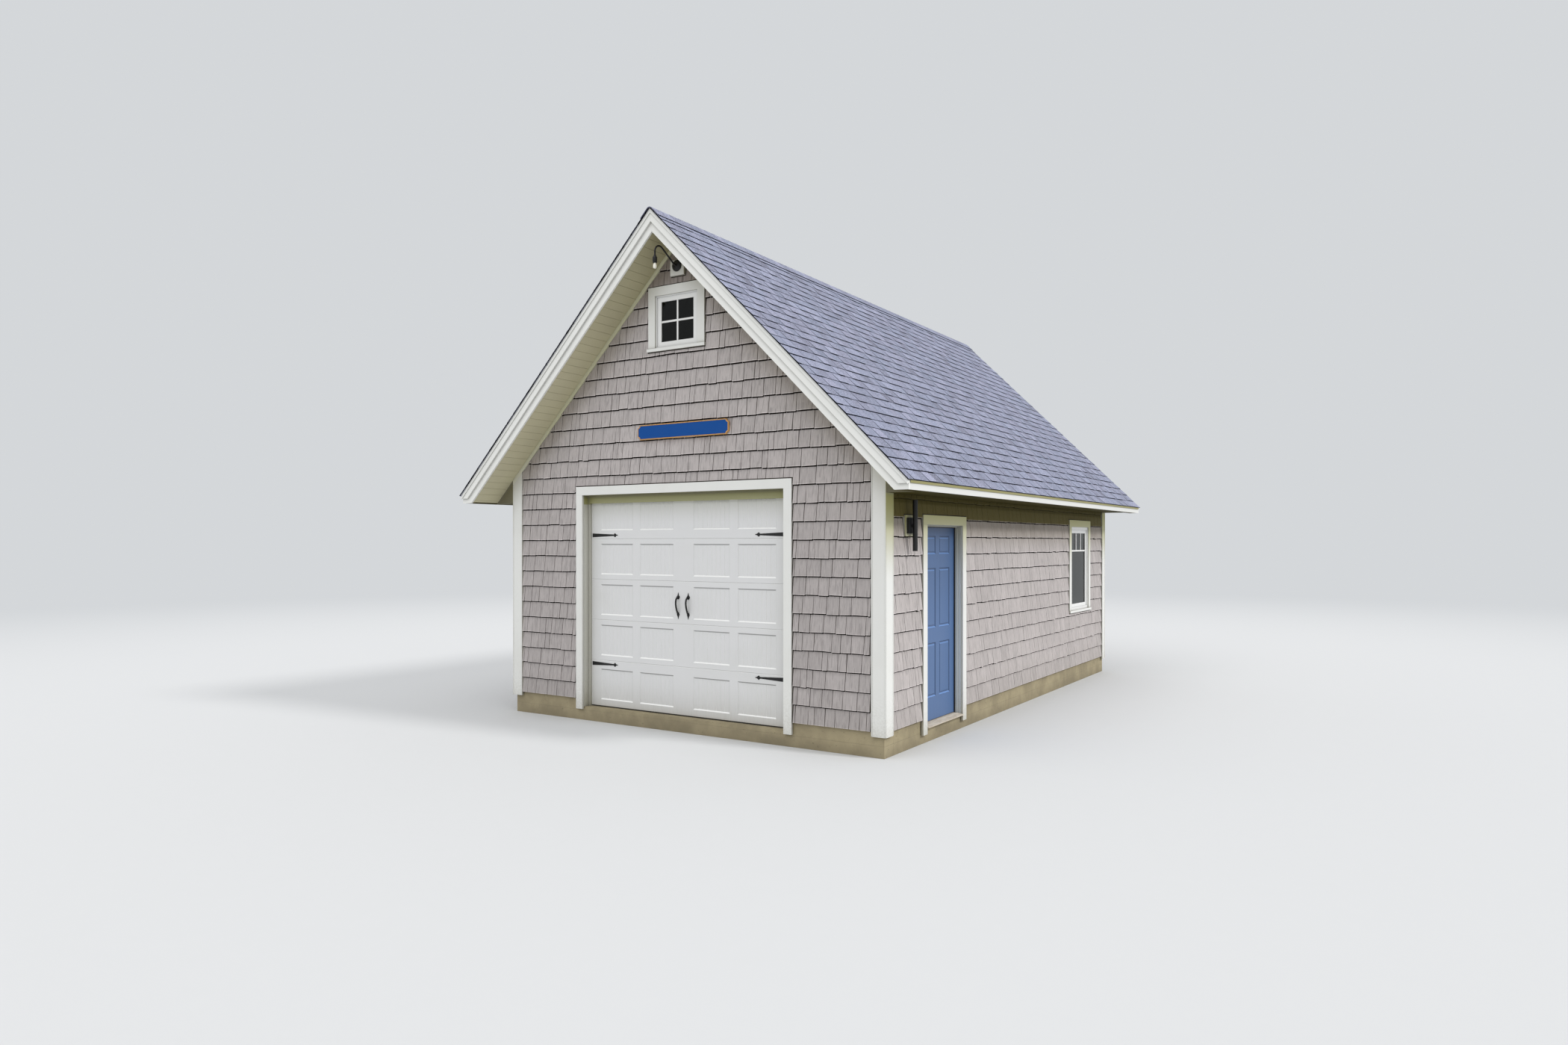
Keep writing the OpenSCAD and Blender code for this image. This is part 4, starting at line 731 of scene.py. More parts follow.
def shake_wall(name, place, node, limits, boxes, seed, finishes, sizes):
    """Courses of single shakes over a shaded bed, cut to a wall's outline and round boxes.

    Each shake has a pale lip along its butt, a painted highlight, and a painted shadow strip under it.
    """
    # How far butts and heads stand out, where the bed lies under them, how near a joint may come
    # to one below, and the dark strip painted as each butt's shadow
    butt_out, head_out, thinnest, chamfer = 0.0235, 0.002, 0.0006, 0.0016
    bed_sunk, bed_foot, bed_head = 0.0052, 0.007, 0.008
    lap, lip_reach, too_near, moved = 0.006, 0.009, 0.020, 0.030
    strip_lap, strip_out = 0.003, 0.0022
    bed_tone, strip_tone = 0.45, 0.0
    pick = random.Random(seed)
    low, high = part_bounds(node)
    axis = 0 if high.x - low.x > high.y - low.y else 1
    left, right = low[axis], high[axis]
    form, edge = Form(), sizes.channel
    step = sizes.side_step if axis else sizes.siding_step
    bed_limits = [(1, 0, right), (-1, 0, -left), (0, 1, high.z)] + limits
    limits = [(1, 0, right - edge), (-1, 0, edge - left), (0, 1, high.z)] + limits
    holes = [grown(box, axis, 2, edge) for box in boxes]
    bed_holes = [grown(box, axis, 2, HAIR) for box in boxes]
    spread = sizes.shake_wide - sizes.shake_narrow
    joints = []
    course = 0
    while low.z + course * step < high.z - NEAR:
        foot = low.z + course * step
        top = foot + step
        lip_top = foot + lip_reach
        full = lapped(head_out, butt_out, foot, step)

        def sunk(u, v):
            return max(thinnest, full(u, v) - bed_sunk)

        # Butts' undersides and the shakes' sides take the dark bed paint as painted shade; the butts'
        # chamfers take the lip's painted highlight
        def edges(p, q):
            if max(p[1], q[1]) < lip_top:
                return 1, 2
            return (1, 0) if abs(q[1] - p[1]) > abs(q[0] - p[0]) else (0, 0)

        bed = [(left, foot + bed_foot), (right, foot + bed_foot), (right, top + bed_head),
               (left, top + bed_head)]
        for part in trimmed(bed, bed_limits, bed_holes):
            form.prism(part, place, 0.0, sunk, 0.0, bed_tone, 1)
        below, joints = joints, []
        at = left - pick.uniform(0.0, 0.1)
        while at < right:
            width = sizes.shake_narrow + spread * pick.choice(SHAKE_WIDTHS) + pick.uniform(-0.006, 0.006)
            if any(abs(at + width - joint) < too_near for joint in below):
                width += moved
            joints.append(at + width)
            butt = foot + (min(0.0045, max(-0.0035, pick.gauss(0.0, 0.0022))) if course else 0.0)
            tilt = pick.uniform(-0.0016, 0.0016) if course else 0.0
            gap = sizes.shake_gap * pick.uniform(0.7, 1.3)
            start, end = at + gap / 2, at + width - gap / 2
            outline = shake_outline(pick, start, end, butt, tilt, top + lap)
            tone = tone_of(pick, 0.5, 0.18)
            front = lapped(head_out, butt_out - pick.uniform(0.0, 0.0018), foot, step)
            for part in trimmed(outline, limits, holes):
                form.prism(part, place, 0.0, front, chamfer, tone, 0, edges, (lip_top, sizes.lip))
            # A dark strip under each butt above the lowest course: painted shadow
            if course:
                lower, upper = butt - sizes.shadow_line, butt + strip_lap
                strip = [(start, lower), (end, lower), (end, upper), (start, upper)]
                for part in trimmed(strip, limits, holes):
                    form.prism(part, place, 0.0, head_out + strip_out, 0.0, strip_tone, 1)
            at += width
        course += 1
    return form.piece(name, finishes, "siding", [node])


class BOATHOUSE_OT_siding(bpy.types.Operator):
    """Single shakes on the four walls, over a bed painted dark as shade"""
    bl_idname = "boathouse.siding"
    bl_label = "Shake Siding"

    def execute(self, context):
        sizes, tints = context.scene.boathouse_sizes, context.scene.boathouse_colours
        # The lips' paint is the siding paint made lighter: a painted highlight along each butt's chamfer
        bed, pale = backing_finish(), times(tints.siding, 1.42)
        courses_to_eave = 11
        under_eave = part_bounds("right_siding")[0].z + courses_to_eave * sizes.side_step
        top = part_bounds("front_siding")[1].z
        gables = [shake_finish("shake_paint", tints.siding, peak=top), bed,
                  shake_finish("shake_lip_highlights", pale, peak=top)]
        sides = [shake_finish("side_shake_paint", tints.siding, under_eave), bed,
                 shake_finish("side_shake_lip_highlights", pale, under_eave)]
        rakes = [(SLOPE, 1, top), (-SLOPE, 1, top)]
        gable_window = without_horns(GABLE_WINDOW, 0)
        side_window = without_horns(SIDE_WINDOW, 1)
        shake_wall("front_shakes", lambda u, v, d: (u, -WALL_Y - d, v), "front_siding", rakes,
                   [GARAGE, gable_window, LAMP_BLOCK], sizes.seed, gables, sizes)
        shake_wall("back_shakes", lambda u, v, d: (u, WALL_Y + d, v), "back_siding", rakes,
                   [gable_window], sizes.seed + 1, gables, sizes)
        shake_wall("right_shakes", lambda u, v, d: (WALL_X + d, u, v), "right_siding", [],
                   [SIDE_CASING, side_window, SCONCE_BLOCK], sizes.seed + 2, sides, sizes)
        shake_wall("left_shakes", lambda u, v, d: (-WALL_X - d, u, v), "left_siding", [],
                   [side_window], sizes.seed + 3, sides, sizes)
        return {"FINISHED"}


def on_slope(side):
    """Place function of one slope, for (Y, distance down the slope, height above it)."""
    def place(y, s, h):
        return (side * (s * math.cos(PITCH) + h * math.sin(PITCH)), y,
                RIDGE_Z - s * math.sin(PITCH) + h * math.cos(PITCH))
    return place


class BOATHOUSE_OT_roof(bpy.types.Operator):
    """Shingle tabs in courses on both slopes, and bent caps along the ridge"""
    bl_idname = "boathouse.roof"
    bl_label = "Shingles and Ridge Caps"

    def execute(self, context):
        sizes, tints = context.scene.boathouse_sizes, context.scene.boathouse_colours
        # The near-black second material is painted shade on the tabs' sides and bed, the strips under
        # the butts and the caps' leg edges
        finish = [shingle_finish("roof_granules", tints.roof),
                  shingle_finish("roof_painted_shade", srgb(13, 13, 24), 0.08)]
        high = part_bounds("roof_shingles")[1]
        reach, drip = high.y - HAIR, 0.014
        length = (high.x - drip * math.sin(PITCH)) / math.cos(PITCH)
        pick = random.Random(sizes.seed + 10)
        for side, name in ((1, "right_shingles"), (-1, "left_shingles")):
            form, place, course = Form(), on_slope(side), 0
            while length - course * sizes.shingle_step > 0.03:
                butt = length - course * sizes.shingle_step
                self.tabs(form, place, butt, reach, course > 0, sizes.shingle_step, pick)
                course += 1
            form.piece(name, finish, "roofing", ["roof_shingles"])
        self.caps(finish, sizes, pick)
        return {"FINISHED"}

    def tabs(self, form, place, butt, reach, paints_shadow, step, pick):
        """Thin and raised tabs on a bed painted dark as shade, and if asked, painted shadow under the
        butts.
        """
        # Heights over the sheathing, and the lap, chamfer and half joint of a tab
        foot, head_out, bed_out, shadow_out = 0.0006, 0.007, 0.0092, 0.0088
        thin, thick, lap, chamfer, joint = 0.0108, 0.0140, 0.02, 0.0012, 0.0030
        ridge_gap, bed_short, strip_lap, narrowest = 0.012, 0.003, 0.004, 0.045
        head, bed_butt = max(ridge_gap, butt - step - lap), butt - bed_short
        bed = [(-reach, head), (reach, head), (reach, bed_butt), (-reach, bed_butt)]
        form.prism(bed, place, foot, lapped(head_out, bed_out, butt, -step), 0.0, 0.15, 1)
        start, width, raised = -reach, pick.uniform(0.05, 0.165), False
        while start < reach - 0.001:
            end = start + width if reach - start - width > narrowest else reach
            flare = pick.uniform(0.0030, 0.0042)
            raised = pick.random() < (0.40 if raised else 0.85)
            tone = tone_of(pick, 0.6 if raised else 0.40, 0.2)
            out = (thick if raised else thin) - pick.uniform(0, 0.001)
            tab = [(start + flare, head), (end - flare, head), (end - joint, butt),
                   (start + joint, butt)]
            # The tabs' sides take the near-black paint as painted shade
            form.prism(tab, place, foot, lapped(head_out, out, butt, -step), chamfer, tone, 0,
                       lambda p, q: (1, 0))
            # A dark strip below each butt: painted shadow, and under raised tabs also the printed shadow
            # band of laminated shingles
            if paints_shadow:
                upper, lower = butt - strip_lap, butt + (0.0090 + 0.006 * tone if raised else 0.0072)
                shadow = [(start, upper), (end, upper), (end - 0.006, lower), (start + 0.002, lower)]
                form.prism(shadow, place, foot, shadow_out, 0.0, 0.1, 1)
            start, width = end, pick.choice(TAB_WIDTHS)

    def caps(self, finish, sizes, pick):
        """Caps bent over the ridge, each lapping the last; their legs' edges are painted dark as shade.
        """
        low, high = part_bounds("ridge_cap")
        form = Form()
        # Heights of a cap's underside and top, its leg's length, and its bend's reach and drop
        rest, top, leg, bend, sunk = 0.0158, 0.0205, 0.150, 0.045, 0.402
        crown_x = (-0.022, -0.011, 0.0, 0.011, 0.022)
        lap, thin, flat = 0.05, 0.0016, 0.0004

        def section(y, h, edge):
            points = []
            for side in (-1, 1):
                half = [on_slope(side)(y, s, h) for s in (leg - edge, bend)]
                points += half if side < 0 else half[::-1]
            crest = RIDGE_Z + h / math.cos(PITCH) - sunk * bend / SLOPE
            crown = [(x, y, crest - x * x * SLOPE / (2 * bend)) for x in crown_x]
            return points[:2] + crown + points[2:]

        y = low.y
        while y < high.y - 0.02:
            end = min(y + sizes.cap_step + lap, high.y)
            tone = tone_of(pick, 0.5, 0.2)
            skew = pick.uniform(0, 0.004)
            rings = []
            for at, h in ((y, top - skew * 0.1), (y + sizes.cap_step, top - thin),
                          (end, rest + 0.0006)):
                if at <= end:
                    rings.append(section(at, h, skew) + section(at, rest - flat, skew)[::-1])
            count = len(rings[0])
            sides = [[int(i in (count // 2 - 1, count - 1)) for i in range(count)]] * (len(rings) - 1)
            form.loft(rings, tone, 0, sides)
            y += sizes.cap_step
        form.piece("ridge_caps", finish, "roofing", ["ridge_cap"])


class BOATHOUSE_OT_trim(bpy.types.Operator):
    """Painted corner boards with beads, rakes, fascias, friezes, casings and a weatherstrip"""
    bl_idname = "boathouse.trim"
    bl_label = "Painted Trim"

    def execute(self, context):
        tints = context.scene.boathouse_colours
        eave_shade, shade = srgb(160, 156, 70), srgb(116, 105, 40)
        trim = paint_finish("trim_paint", tints.trim, nook_shade=0.5)
        # The rakes' paint is the trim paint made lighter: painted light
        rakes = paint_finish("rake_paint", times(tints.trim, 1.08), 0.4, nook_shade=0.2)
        # Olive painted shade on the side faces under the eaves, and in nooks
        eave_side = paint_finish("eave_side_paint", tints.trim, nook_shade=0.7, painted_shades=[
            ([("X", FACE.x - 0.004, FACE.x - 0.001), ("Z", 1.60, 2.40)], 0.84, eave_shade)])
        # Olive painted shade on the frieze rising up the gable, dark olive beyond the side walls' faces
        frieze = paint_finish("frieze_paint", tints.trim, nook_shade=0.45, crease_shade=0.45, sheen=0.2, painted_shades=[
            ([("Z", 2.0, 3.4)], 0.46, srgb(190, 186, 120)),
            ([("X", FACE.x + 0.0005, FACE.x + 0.003)], 0.85, srgb(74, 66, 20))])
        # A bluish copy of the trim paint as painted skylight in the doorway, with painted shade towards
        # its head
        skylit_trim = tuple(c * k for c, k in zip(tints.trim, (0.92, 0.98, 1.05)))
        doorway = paint_finish("doorway_paint", skylit_trim, nook_shade=0.35,
                               painted_shades=[([("Z", 1.5, 2.25)], 0.55, shade)])
        # Olive painted shade in the recess, at the head stop and darker above it
        stop_z = part_box("garage_door_frame", lambda p: p.z > 2.0)[0].z
        recess = paint_finish("recess_paint", tints.trim, nook_shade=0.8, sheen=0.25, painted_shades=[
            ([("Z", stop_z - 0.02, stop_z)], 0.72, srgb(132, 130, 44)),
            ([("Z", stop_z + 0.04, stop_z + 0.09)], 0.5, srgb(84, 74, 22))])
        finish_node(frieze, "frieze_boards")
        finish_node(trim, "garage_door_casing")
        finish_node(rakes, "front_rake_boards", "back_rake_boards")
        finish_node(eave_side, "corner_boards", "side_door_casing", "window_casings", "light_blocks")
        finish_node(doorway, "side_door_frame")
        finish_node(recess, "garage_door_frame")
        drip_strip = 0.0545
        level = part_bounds("eave_fascias")[1].z - drip_strip
        finish_node(drip_finish("fascia_paint", tints.trim, level), "eave_fascias")
        self.beads(eave_side)
        self.weatherstrip()
        return {"FINISHED"}

    def beads(self, finish):
        """Thin strips along both edges of each face of the corner boards."""
        form, wide, out, inset, clear, cut = Form(), 0.011, 0.0022, 0.002, 0.004, 0.02
        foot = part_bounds("corner_boards")[0].z + clear
        inner_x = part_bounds("front_siding")[1].x + inset
        inner_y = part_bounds("right_siding")[1].y + inset

        def outermost(p):
            return abs(p.x) > FACE.x - 0.001 and abs(p.y) > FACE.y - 0.001

        side_top = part_box("corner_boards", lambda p: abs(p.y) < inner_y + NEAR)[1].z - inset
        slant = part_box("corner_boards", outermost)[1].z
        inner_top = slant + (FACE.x - inner_x) * SLOPE - cut
        for sx in (1, -1):
            for sy in (1, -1):
                for x, top in ((FACE.x - wide, slant), (inner_x + inset, inner_top)):
                    self.bead(form, (sx * x, sy * FACE.y, foot),
                              (sx * (x + wide), sy * (FACE.y + out), top))
                for y in (FACE.y - wide, inner_y + inset):
                    self.bead(form, (sx * FACE.x, sy * y, foot),
                              (sx * (FACE.x + out), sy * (y + wide), side_top))
        form.piece("corner_board_beads", finish, "trim")

    def weatherstrip(self):
        """Black rubber along the inner edges of the side door's stops, clear of the leaf."""
        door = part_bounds("side_door")
        stop_x = part_box("side_door_frame", lambda p: p.x > door[1].x + 0.002)[0].x
        stop, cut, near, far = 0.005, 0.0075, stop_x + HAIR, stop_x + 0.0105
        y0, y1, z1 = door[0].y + stop, door[1].y - stop, door[1].z - stop
        z0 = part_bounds("side_door_threshold")[1].z + 0.001
        form = Form()
        for low, high in (((y0, z0), (y0 + cut, z1)), ((y1 - cut, z0), (y1, z1)),
                          ((y0 + cut, z1 - cut), (y1 - cut, z1))):
            form.bar((near, *low), (far, *high), 0.0015)
        form.piece("door_weatherstrip", rubber_finish("strip_rubber"), "seal")

    def bead(self, form, a, b):
        """Rounded strip between two opposite corners."""
        low = [min(p, q) for p, q in zip(a, b)]
        high = [max(p, q) for p, q in zip(a, b)]
        form.bar(low, high, 0.0009)


class BOATHOUSE_OT_soffits(bpy.types.Operator):
    """Grooved planks under the eaves and the rakes"""
    bl_idname = "boathouse.soffits"
    bl_label = "Soffit Planks"

    def execute(self, context):
        sizes, tints = context.scene.boathouse_sizes, context.scene.boathouse_colours
        # Olive painted shade high under the rakes, in nooks and creases
        finish = paint_finish("soffit_paint", tints.soffit, 0.8, 0.6, 0.55, 0.25, 0.16, [
            ([("Z", 3.6, 5.2)], 0.35, srgb(104, 94, 44))])
        # Dark olive painted shade over the eave soffits outside the walls
        shaded = paint_finish("eave_soffit_paint", tints.soffit, 0.8, 0.6, 0.55, 0.6, 0.30, [
            ([("X", WALL_X - 0.02, WALL_X)], 0.97, srgb(60, 54, 12))], 0.04)
        gap, thick, rake_chamfer, eave_chamfer = 0.0008, 0.0098, 0.0012, 0.0028
        low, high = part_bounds("rake_soffits")
        inner = part_box("rake_soffits", lambda p: p.y < 0)[1].y
        depth = (RIDGE_Z - high.z) * math.cos(PITCH)
        form = Form()
        for sx in (1, -1):
            for sy in (1, -1):
                slope = on_slope(sx)

                def place(y, s, d):
                    return slope(sy * y, s, -d)

                s = depth * SLOPE
                last = high.x / math.cos(PITCH) + depth * SLOPE - 0.004
                while s < last - NEAR:
                    t = min(s + sizes.plank, last)
                    outline = [(low.y, s + gap), (inner, s + gap), (inner, t - gap), (low.y, t - gap)]
                    form.prism(outline, place, depth + 0.001, depth + thick, rake_chamfer)
                    s = t
        form.piece("rake_soffit_planks", finish, "soffit", ["rake_soffits"])
        form = Form()
        low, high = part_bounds("eave_soffits")
        narrow = part_box("eave_soffits", lambda p: p.x > 0 and abs(p.y) > WALL_Y + NEAR)[0].x
        wide = part_box("eave_soffits", lambda p: p.x > 0)[0].x
        for sx in (1, -1):
            y = low.y
            while y < high.y - NEAR:
                t = min(y + sizes.plank, high.y)
                start = wide if abs(y) < WALL_Y and abs(t) < WALL_Y else narrow
                outline = [(start, y + gap), (high.x, y + gap), (high.x, t - gap), (start, t - gap)]
                form.prism(outline, lambda u, v, d: (sx * u, v, high.z - d), 0.0, high.z - low.z,
                           eave_chamfer)
                y = t
        form.piece("eave_soffit_planks", shaded, "soffit", ["eave_soffits"])
        return {"FINISHED"}


class BOATHOUSE_OT_garage_door(bpy.types.Operator):
    """Sectional door: pressed steel sections, rubber seal, bolted black straps and bowed pulls"""
    bl_idname = "boathouse.garage_door"
    bl_label = "Sectional Door"

    def execute(self, context):
        tints = context.scene.boathouse_colours
        sections = [f"garage_door_section_{i}" for i in range(1, 6)]
        finish_node(pressed_steel_finish(tints.panels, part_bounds(sections[-1])[1].z), *sections)
        black = hardware_finish()
        finish_node(rubber_finish("black_rubber"), "garage_door_seal")
        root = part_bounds("garage_door_straps")[1]
        between = 1.2
        form = Form()
        for low, high in (part_box("garage_door_straps", lambda p: p.z < between),
                          part_box("garage_door_straps", lambda p: p.z > between)):
            for side in (-1, 1):
                self.strap(form, side, root, (low.z + high.z) / 2)
        form.piece("door_straps", black, "hardware", ["garage_door_straps"], smooth=35)
        pull = part_box("garage_door_pulls", lambda p: p.x > 0)
        form = Form()
        for side in (-1, 1):
            self.pull(form, side * (pull[0].x + pull[1].x) / 2, pull, root.y)
        form.piece("door_pulls", black, "hardware", ["garage_door_pulls"], smooth=35)
        return {"FINISHED"}

    def strap(self, form, side, root, z):
        """Tapered strap with a spade tip; its edges are bevelled and bolts hold it."""
        end, half, neck = root.x - self.tip_x(), 0.022, 0.0088

        def place(u, v, d):
            return (side * (root.x - u), root.y - d, z + v)

        body = [(0.0, -half), (end - 0.072, -neck), (end - 0.072, neck), (0.0, half)]
        form.prism(body, place, 0.0, 0.004, 0.0022)
        tip = [(end - 0.074, -neck), (end - 0.062, -neck), (end - 0.051, -half * 0.95),
               (end - 0.042, -half * 0.95), (end - 0.026, -neck * 0.85), (end - 0.012, -neck * 0.6),
               (end, 0.0)]
        tip += [(u, -v) for u, v in tip[-2::-1]]
        middle = end - 0.046
        form.loft([[place(u + (middle - u) * drawn, v * slim, rise) for u, v in tip]
                   for drawn, slim, rise in ((0, 1, 0.0), (0, 1, 0.0024), (0.12, 0.78, 0.0042),
                                             (0.45, 0.40, 0.0062))])
        for u in (0.035, 0.15, 0.262):
            self.bolt(form, place(u, 0.0, 0.0036))

    def tip_x(self):
        """Distance of the straps' tips from the middle of the door."""
        return min(abs(v.co.x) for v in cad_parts["garage_door_straps"].data.vertices)

    def pull(self, form, x, box, y):
        """Bowed grip that stands out most below its upper end, on two spear plates."""
        low, high = box
        middle, half = (low.z + high.z) / 2, (high.z - low.z) / 2

        def place(u, v, d):
            return (x + u, y - d, middle + v)

        for end, wide in ((1, 0.023), (-1, 0.019)):
            spear = [(-0.009, half - 0.074), (-wide, half - 0.048), (-0.009, half - 0.030),
                     (-0.0045, half - 0.013), (0.0, half)]
            spear += [(-u, v) for u, v in spear[-2::-1]]
            form.loft([[place(u * scale, end * (half - 0.046 + (v - half + 0.046) * scale), rise)
                        for u, v in spear]
                       for scale, rise in ((1.0, 0.0), (1.0, 0.003), (0.72, 0.0065), (0.35, 0.009))])
        grip, steps = 0.0092, 24
        reach = ((y - low.y) - 0.0098) * 0.84
        path = []
        for i in range(steps + 1):
            k = i / steps
            v = (half - 0.050) * (1 - 2 * k)
            out = reach * math.sin(math.pi * min(1.0, k ** 0.62)) ** 0.75 + 0.003
            path.append(place(0.0, v, out))
        form.tube(path, grip, (1, 0, 0), 14)

    def bolt(self, form, centre):
        """Low round bolt head."""
        form.turned([(0.0075, 0.0), (0.0075, 0.001), (0.0055, 0.0032), (0.002, 0.0042)],
                    centre, (0, -1, 0), (1, 0, 0), 12)


class BOATHOUSE_OT_side_door(bpy.types.Operator):
    """Blue six-panel leaf, black hinges and knob, worn threshold"""
    bl_idname = "boathouse.side_door"
    bl_label = "Side Door"

    def execute(self, context):
        tints = context.scene.boathouse_colours
        finish_node(leaf_finish(tints.leaf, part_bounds("side_door")[1].z), "side_door")
        finish_node(hardware_finish(), "side_door_hinges", "side_door_fixed_hinges", "side_door_knob")
        finish_node(threshold_finish(), "side_door_threshold")
        return {"FINISHED"}


class BOATHOUSE_OT_windows(bpy.types.Operator):
    """White sashes with dark glass"""
    bl_idname = "boathouse.windows"
    bl_label = "Windows"

    def execute(self, context):
        sash = paint_finish("sash_vinyl", srgb(238, 238, 236), 0.4, 0.2, 0.3)
        finish_node(sash, "right_window", "left_window", "front_gable_window", "back_gable_window")
        # The glass's dark green tint also stands for green surroundings reflected in it: a painted
        # reflection
        finish_node(glass_finish("window_glass", srgb(62, 76, 62), 0.01), "window_panes")
        return {"FINISHED"}


class BOATHOUSE_OT_lights(bpy.types.Operator):
    """Bare gooseneck lamp with its bulb, and the upright wall light"""
    bl_idname = "boathouse.lights"
    bl_label = "Lights"

    def execute(self, context):
        black = hardware_finish()
        finish_node(black, "wall_light")
        low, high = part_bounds("gooseneck_lamp")
        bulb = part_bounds("lamp_bulb")
        tip = (bulb[0] + bulb[1]) / 2
        socket_z, cup_r = bulb[1].z, (high.x - low.x) / 2
        cup = Vector(((low.x + high.x) / 2, high.y, low.z + cup_r))
        form = Form()
        form.turned([(cup_r, 0.0), (cup_r, 0.005), (cup_r - 0.003, 0.009), (cup_r - 0.016, 0.019),
                     (0.016, 0.022), (0.012, 0.034), (0.0105, 0.036)], cup, (0, -1, 0), (1, 0, 0), 40)
        form.tube(self.neck(cup, tip, high.z), 0.0086, (1, 0, 0), 16)
        form.turned([(0.0105, 0.084), (0.0135, 0.080), (0.0135, 0.070), (0.021, 0.064), (0.0235, 0.056),
                     (0.0235, 0.020), (0.0215, 0.017), (0.0215, 0.002), (0.0195, 0.0), (0.012, 0.0)],
                    (tip.x, tip.y, socket_z), (0, 0, 1), (1, 0, 0), 28)
        form.piece("bare_gooseneck", black, "hardware", ["gooseneck_lamp"], smooth=38)
        form = Form()
        drop = bulb[1].z - bulb[0].z
        form.turned([(0.0125, 0.006), (0.0125, -0.008), (0.0165, -0.014), (0.0185, -0.022),
                     (0.0185, -drop + 0.014), (0.0165, -drop + 0.006), (0.011, -drop + 0.0015),
                     (0.004, -drop)],
                    (tip.x, tip.y, socket_z), (0, 0, 1), (1, 0, 0), 28)
        form.piece("opal_bulb", bulb_finish(), "bulb", ["lamp_bulb"], smooth=50)
        return {"FINISHED"}

    def neck(self, cup, tip, crest):
        """Middle line of the tube: out of the cup, up in an S and over in a bow to the socket."""
        rise, bow, first, tube = math.radians(30), 0.075, 0.080, 0.011
        centre = Vector((cup.x, tip.y + bow, crest - tube - bow))
        path = []
        for i in range(9):
            a = rise * i / 8
            y = cup.y - 0.020 - first * math.sin(a)
            path.append(Vector((cup.x, y, cup.z + first * (1 - math.cos(a)))))
        for i in range(17):
            a = math.pi / 2 - rise + (math.pi / 2 + rise) * i / 16
            path.append(centre + Vector((0, math.cos(a) * bow, math.sin(a) * bow)))
        path.append(Vector((tip.x, tip.y, tip.z + 0.06)))
        return path


class BOATHOUSE_OT_name_board(bpy.types.Operator):
    """Blue name board, bare, with a gilt bevel that follows its scooped corners"""
    bl_idname = "boathouse.name_board"
    bl_label = "Name Board"

    def execute(self, context):
        tints = context.scene.boathouse_colours
        blue = paint_finish("board_paint", tints.board, 0.1, 0.6, 0.34, sheen=0.2)
        low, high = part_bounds("name_board")
        middle = (low + high) / 2
        half_w, half_h = (high.x - low.x) / 2, (high.z - low.z) / 2
        form = Form()

        def outline(inset):
            w, h, scoop = half_w - inset, half_h - inset, 0.028 + inset * 0.6
            turn = [math.radians(a) for a in range(0, 91, 15)]
            points = []
            for sx, sz in ((1, 1), (-1, 1), (-1, -1), (1, -1)):
                corner = [(sx * (half_w - inset * 0.4 - scoop * math.cos(a)),
                           sz * (half_h - inset * 0.4 - scoop * math.sin(a))) for a in turn]
                corner[0] = (corner[0][0], sz * h)
                corner[-1] = (sx * w, corner[-1][1])
                points += corner[::-1] if sx * sz > 0 else corner
            return points

        def ring(inset, out):
            return [(middle.x + x, high.y - out, middle.z + z) for x, z in outline(inset)]

        depth = high.y - low.y
        gilt = [ring(0.0015, 0.0), ring(0.0, 0.0015), ring(0.0, depth - 0.006),
                ring(0.003, depth - 0.0015), ring(0.006, depth), ring(0.0085, depth),
                ring(0.0115, depth - 0.004)]
        form.loft(gilt, 0.5, 1)
        face = [ring(0.0112, depth - 0.006), ring(0.0112, depth - 0.0034), ring(0.0125, depth - 0.0028)]
        form.loft(face, 0.5, 0)
        form.piece("quarter_board", [blue, gilt_finish()], "sign", ["name_board"])
        return {"FINISHED"}


class BOATHOUSE_OT_structure(bpy.types.Operator):
    """Concrete stem walls and slab, and the bare lumber inside"""
    bl_idname = "boathouse.structure"
    bl_label = "Concrete and Lumber"

    def execute(self, context):
        tints = context.scene.boathouse_colours
        finish_node(concrete_finish(tints.concrete), "stem_walls", "floor_slab")
        finish_node(lumber_finish(tints.lumber), "front_wall_left", "front_wall_right",
                    "front_gable_wall", "right_wall_front", "right_wall_over_door", "right_wall_rear",
                    "left_wall", "back_wall", "rafters", "ridge_board", "roof_sheathing")
        return {"FINISHED"}


